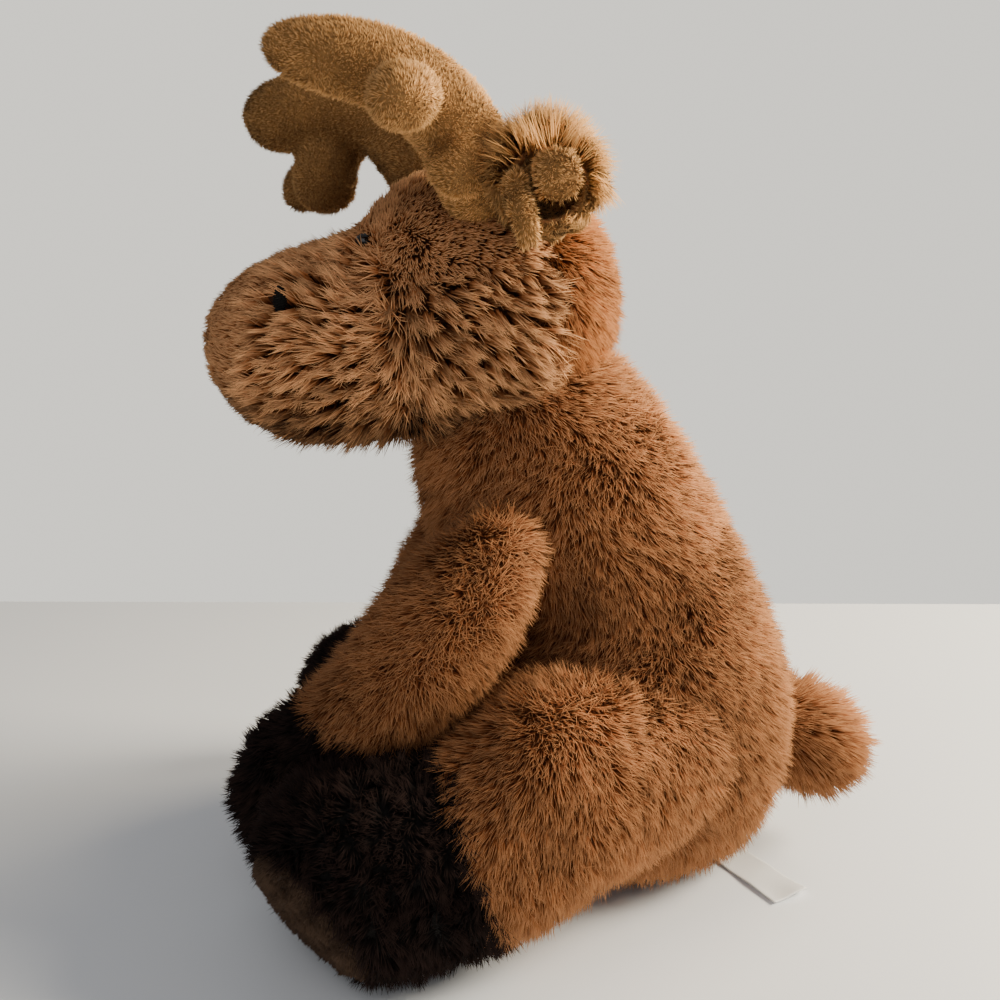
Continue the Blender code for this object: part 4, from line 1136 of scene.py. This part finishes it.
# Painted shade near the ear's root, where it meets the head.
def ear_root_painted_shade(points):
    return 1.0, -0.45 * (1 - ease_step(0.244, 0.256, points[:, 2]))


def thin_below(low):
    """Sparser fur where the toy presses on the table."""
    return lambda spots: ease_step(low, 0.02, spots[:, 2]) * 0.8 + 0.2


def on_side(spots, side):
    return (spots[:, 0] >= 0) == (side > 0)


def on_face(side):
    """One half of the face, apart from the seam behind it and the nostril's stitches."""

    def keep(spots):
        x, y, z = spots.T
        stitches = ((y + 0.0925) / 0.0024) ** 2 + ((z - 0.2160) / 0.0040) ** 2 <= 1
        return on_side(spots, side) & (y < HEAD_SEAM_Y - SEAM_CLEAR) & ~stitches

    return keep


def seed_of(number, side):
    return number if side > 0 else number + 1


# Pieces, each with its finish, the solids that it stands for and the body that it rides on


def dress(piece, body, look=None, nodes=(), crossing=None):
    """Gives a piece its finish and hides its solids. It rides on its body, unless it has a crossing: then
    it keeps its place in the world.
    """
    if look is not None:
        piece.data.materials.clear()
        piece.data.materials.append(look)
    if nodes:
        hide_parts(*nodes)
    if crossing:
        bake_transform(piece)
    else:
        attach(piece, body)


def clothe(fur, cover, body, look, nodes, crossing=None):
    """Binds a fur and the cover that it grows on."""
    dress(fur, body, crossing=crossing)
    dress(cover, body, look, nodes, crossing)


def torso_pieces(torso, trees):
    neighbours = ("head", "tail", "foreleg_left", "foreleg_right", "hind_leg_left", "hind_leg_right")
    around = [trees[name] for name in neighbours]
    for side, word in SIDES:
        fur = pile(
            "torso_fur_" + word, torso, BODY_FUR, down_flow, 1.90, 0.0086, seed_of(11, side),
            lift=46, locks=0.0030, stray=0.34, sway=0.5, around=around,
            keep=lambda spots, side=side: on_side(spots, side),
            share=thin_below(0.004), tone=body_painted_shade_and_light,
        )
        dress(fur, "torso")
    inside = ("torso_cover", "torso_filling", "pellet_pouch")
    dress(torso, "torso", BODY_BACK, inside)


def head_pieces(head, trees):
    """The face in front of the seam and the rear panel behind it."""
    neck = ("torso", (0, -0.009, 0.150), (0, -0.009, 0.185))
    seam = (0, HEAD_SEAM_Y, 0)
    rear, front = parted(head, "head_skin_rear", "head_skin_front", seam, (0, -1, 0))
    around = [trees[name] for name in ("antler_left", "antler_right", "ear_left", "ear_right", "torso")]
    for side, word in SIDES:
        fur = pile(
            "head_fur_" + word, front, HEAD_FUR, head_flow, 2.2, head_length, seed_of(21, side),
            width=0.0006, lift=52, locks=0.0044, stray=0.12, sway=0.3, around=around,
            pull=lambda spots: 0.1 + 1.40 * head_long(spots), curved=True, soft=0.45,
            share=lambda spots: 1.25 - 0.25 * head_long(spots),
            tone=head_tone_and_painted_light, keep=on_face(side),
        )
        dress(fur, "head", crossing=neck)
    dress(front, "head", HEAD_BACK, ("head_cover", "head_filling"), neck)
    fur = pile(
        "rear_panel_fur", rear, REAR_FUR, rear_flow, 2.0, 0.0074, 23, around=around,
        keep=lambda spots: spots[:, 1] > HEAD_SEAM_Y + SEAM_CLEAR,
    )
    inside = ("head_rear_panel",)
    clothe(fur, rear, "head", HEAD_BACK, inside, neck)


def tail_pieces(tail, trees):
    root = ("torso", (0, 0.083, 0.07), (0, 0.105, 0.05))
    fur = pile(
        "tail_fur", tail, BODY_FUR, tail_flow, 2.0, 0.0100, 31, around=[trees["torso"]],
        tone=lambda spots: (1.0, np.full(len(spots), -0.15)),
    )
    clothe(fur, tail, "tail", BODY_BACK, ("tail",), root)


def hoof_fur(name, hoof, length, around, keep, seed, side):
    return pile(
        name, hoof, HOOF_FUR, curly_flow(seed), 1.8, length, seed_of(seed, side),
        width=0.0008, lift=55, locks=0.004, pull=0.6, around=around, keep=keep,
    )


def hind_leg_pieces(side, word, whole, trees):
    """Thigh, hoof and the flat sole on the hoof's end."""
    body = "hind_leg_" + word
    hip = ("torso", (side * 0.045, 0.050, 0.05), (side * 0.075, -0.03, 0.05))
    around = [trees["torso"], trees["foreleg_" + word]]
    x, y, z = HIND_SEAM_SPOT
    seam_spot = Vector((side * x, y, z))
    seam_way = forward_way(0, HIND_SEAM_FALL)
    past_seam = past(seam_spot, seam_way)
    thigh, hoof = parted(whole, "hind_skin_" + word, "hind_hoof_whole_" + word, seam_spot, seam_way)
    x, y, z = SOLE_SPOT
    back = 0.0 if side > 0 else 0.8 * FAR_HOOF_BACK
    facing = forward_way(SOLE_TURN, SOLE_FALL, side)
    sole_spot = Vector((side * x, y + back, z)) + facing * SOLE_OUT
    past_sole = past(sole_spot, facing)
    hoof, sole = parted(hoof, "hind_hoof_skin_" + word, "hind_sole_skin_" + word, sole_spot, facing)
    points = points_of(sole)
    high = np.maximum(past_sole(points) - SOLE_HEIGHT, 0)
    put_points(sole, points - np.array(facing) * high[:, None])

    fur = pile(
        "thigh_fur_" + word, thigh, BODY_FUR, thigh_flow, 2.1, 0.0086, seed_of(41, side),
        lift=40, locks=0.0030, stray=0.36, sway=0.5, around=around,
        keep=lambda spots: past_seam(spots) < -SEAM_CLEAR,
        share=thin_below(0.005), tone=thigh_painted_shade,
    )
    inside = ("hind_leg_" + word, "hind_leg_filling_" + word)
    clothe(fur, thigh, body, BODY_BACK, inside, hip)

    def on_hoof(spots):
        return (past_seam(spots) > SEAM_CLEAR) & (past_sole(spots) < -SEAM_CLEAR)

    fur = hoof_fur("hind_hoof_fur_" + word, hoof, 0.0070, around, on_hoof, 51, side)
    clothe(fur, hoof, body, HOOF_BACK, ("hind_hoof_" + word,), hip)
    fur = pile(
        "sole_pile_" + word, sole, SOLE_PILE, curly_flow(61), 4.0, 0.0022, seed_of(61, side),
        width=0.0008, lift=50, locks=0.002, pull=0.4,
        keep=lambda spots: past_sole(spots) > SEAM_CLEAR,
    )
    clothe(fur, sole, body, SOLE_BACK, ("hind_sole_" + word,), hip)


def foreleg_pieces(side, word, whole, trees):
    """Arm and hoof, parted at the cuff."""
    body = "foreleg_" + word
    shoulder = ("torso", (side * 0.061, 0.0, 0.15), (side * 0.05, -0.045, 0.11))
    around = [trees["torso"], trees["hind_leg_" + word]]
    x, y, z = CUFF_SPOT
    cuff_spot = Vector((side * x, y + (0.0 if side > 0 else FAR_CUFF_BACK), z))
    cuff_way = Vector(CUFF_WAY)
    past_cuff = past(cuff_spot, cuff_way)
    arm, hoof = parted(whole, "foreleg_skin_" + word, "fore_hoof_skin_" + word, cuff_spot, cuff_way)
    fur = pile(
        "foreleg_fur_" + word, arm, BODY_FUR, arm_flow, 2.2, 0.0082, seed_of(71, side),
        lift=44, locks=0.0028, stray=0.55, sway=0.8, around=around,
        keep=lambda spots: past_cuff(spots) < -SEAM_CLEAR, tone=arm_painted_shade,
    )
    inside = ("foreleg_" + word, "foreleg_filling_" + word)
    clothe(fur, arm, body, BODY_BACK, inside, shoulder)

    def on_hoof(spots):
        return past_cuff(spots) > SEAM_CLEAR

    fur = hoof_fur("fore_hoof_fur_" + word, hoof, 0.0075, around, on_hoof, 81, side)
    clothe(fur, hoof, body, HOOF_BACK, ("fore_hoof_" + word,), shoulder)


def antler_pieces(side, word, antler, trees):
    body = "antler_" + word
    root = ("head", (side * 0.03, -0.030, 0.250), (side * 0.035, -0.033, 0.275))
    # Painted light on the near antler and painted shade on the far one, which share one finish.
    painted_light_shift = 0.16 if side > 0 else -0.25
    fur = pile(
        "antler_pile_" + word, antler, VELVET, velvet_flow, 3.4, 0.0022, seed_of(91, side),
        width=0.0005, lift=38, locks=0.0013, pull=0.5, stray=0.4,
        around=[trees["head"], trees["ear_" + word]],
        tone=lambda spots: (0.95, painted_light_shift),
    )
    clothe(fur, antler, body, VELVET_BACK, (body,), root)


def ear_pieces(side, word, shell, trees):
    """The long-furred cup and its velvet lining."""
    body = "ear_" + word
    root = ("head", (side * 0.04, -0.010, 0.248), (side * 0.055, -0.010, 0.254))
    lining = ear_lining(side, word)
    fur = pile(
        "ear_fur_" + word, shell, EAR_FUR, ear_flow(side), 8.0, ear_length, seed_of(101, side),
        width=0.00040, lift=36, locks=0.0085, pull=0.85, stray=0.14, around=[trees["head"]],
        curved=True, soft=0.3, wrap=(-0.10, 0.45, 0.60), tone=ear_root_painted_shade,
        keep=lambda spots: ear_outside(spots, side) > 0.0118,
    )
    clothe(fur, shell, body, EAR_BACK, (body,), root)

    # The lining a little lighter overall, with painted shade deep in the hollow near the ear's root.
    def lining_tone_and_painted_shade(spots):
        return 1.1, 0.28 - 0.9 * (1 - ease_step(0.018, 0.024, ear_out(spots, side)))

    fur = pile(
        "ear_lining_pile_" + word, lining, VELVET, curly_flow(111), 3.8, 0.0022, seed_of(111, side),
        width=0.0006, lift=44, locks=0.0015, pull=0.6, tone=lining_tone_and_painted_shade,
    )
    inside = ("ear_lining_" + word,)
    clothe(fur, lining, body, VELVET_BACK, inside)


def eye_pieces(side, word):
    bead = eye_bead(side, word)
    dark = (0.004, 0.003, 0.003)
    gloss = two_tone("eye_gloss_" + word, 0.08, dark, (0.010, 0.007, 0.006), 400.0, specular=0.5)
    dress(bead, "head", gloss, ("eye_" + word,))


def nostril_pieces(side, word):
    threads = nostril_spot(side, word)
    dress(threads, "head", HOOF_BACK, ("nostril_stitch_" + word,))


def washer_finish():
    """The washers behind the eyes keep their own solids and only get a finish."""
    plastic = two_tone("washer_plastic", 0.5, (0.66, 0.66, 0.64), (0.74, 0.74, 0.72), 300.0)
    for _, word in SIDES:
        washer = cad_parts["eye_washer_" + word].data
        washer.materials.clear()
        washer.materials.append(plastic)


def label_piece():
    strip = satin_label()
    weave = {"distortion": 1.5, "kind": "ShaderNodeTexWave"}
    satin = two_tone("label_satin", 0.32, (0.78, 0.77, 0.75), (0.88, 0.88, 0.87), 900.0, 0.1, **weave)
    dress(strip, "torso", satin, ("label",))


set_camera()
set_table()
set_lights()

wholes = {
    "torso": torso_whole(),
    "head": head_whole(),
    "tail": stuffed_skin("tail_skin", TAIL_RINGS, (0, -1, 0), 20, 0.004, 0.002),
}
for side, word in SIDES:
    wholes["foreleg_" + word] = foreleg_whole(side, word)
    wholes["hind_leg_" + word] = hind_leg_whole(side, word)
    wholes["antler_" + word] = antler_whole(side, word)
    wholes["ear_" + word] = ear_shell(side, word)
trees = {name: tree_of(piece) for name, piece in wholes.items()}

torso_pieces(wholes["torso"], trees)
head_pieces(wholes["head"], trees)
tail_pieces(wholes["tail"], trees)
for side, word in SIDES:
    hind_leg_pieces(side, word, wholes["hind_leg_" + word], trees)
    foreleg_pieces(side, word, wholes["foreleg_" + word], trees)
    antler_pieces(side, word, wholes["antler_" + word], trees)
    ear_pieces(side, word, wholes["ear_" + word], trees)
    eye_pieces(side, word)
    nostril_pieces(side, word)
washer_finish()
label_piece()
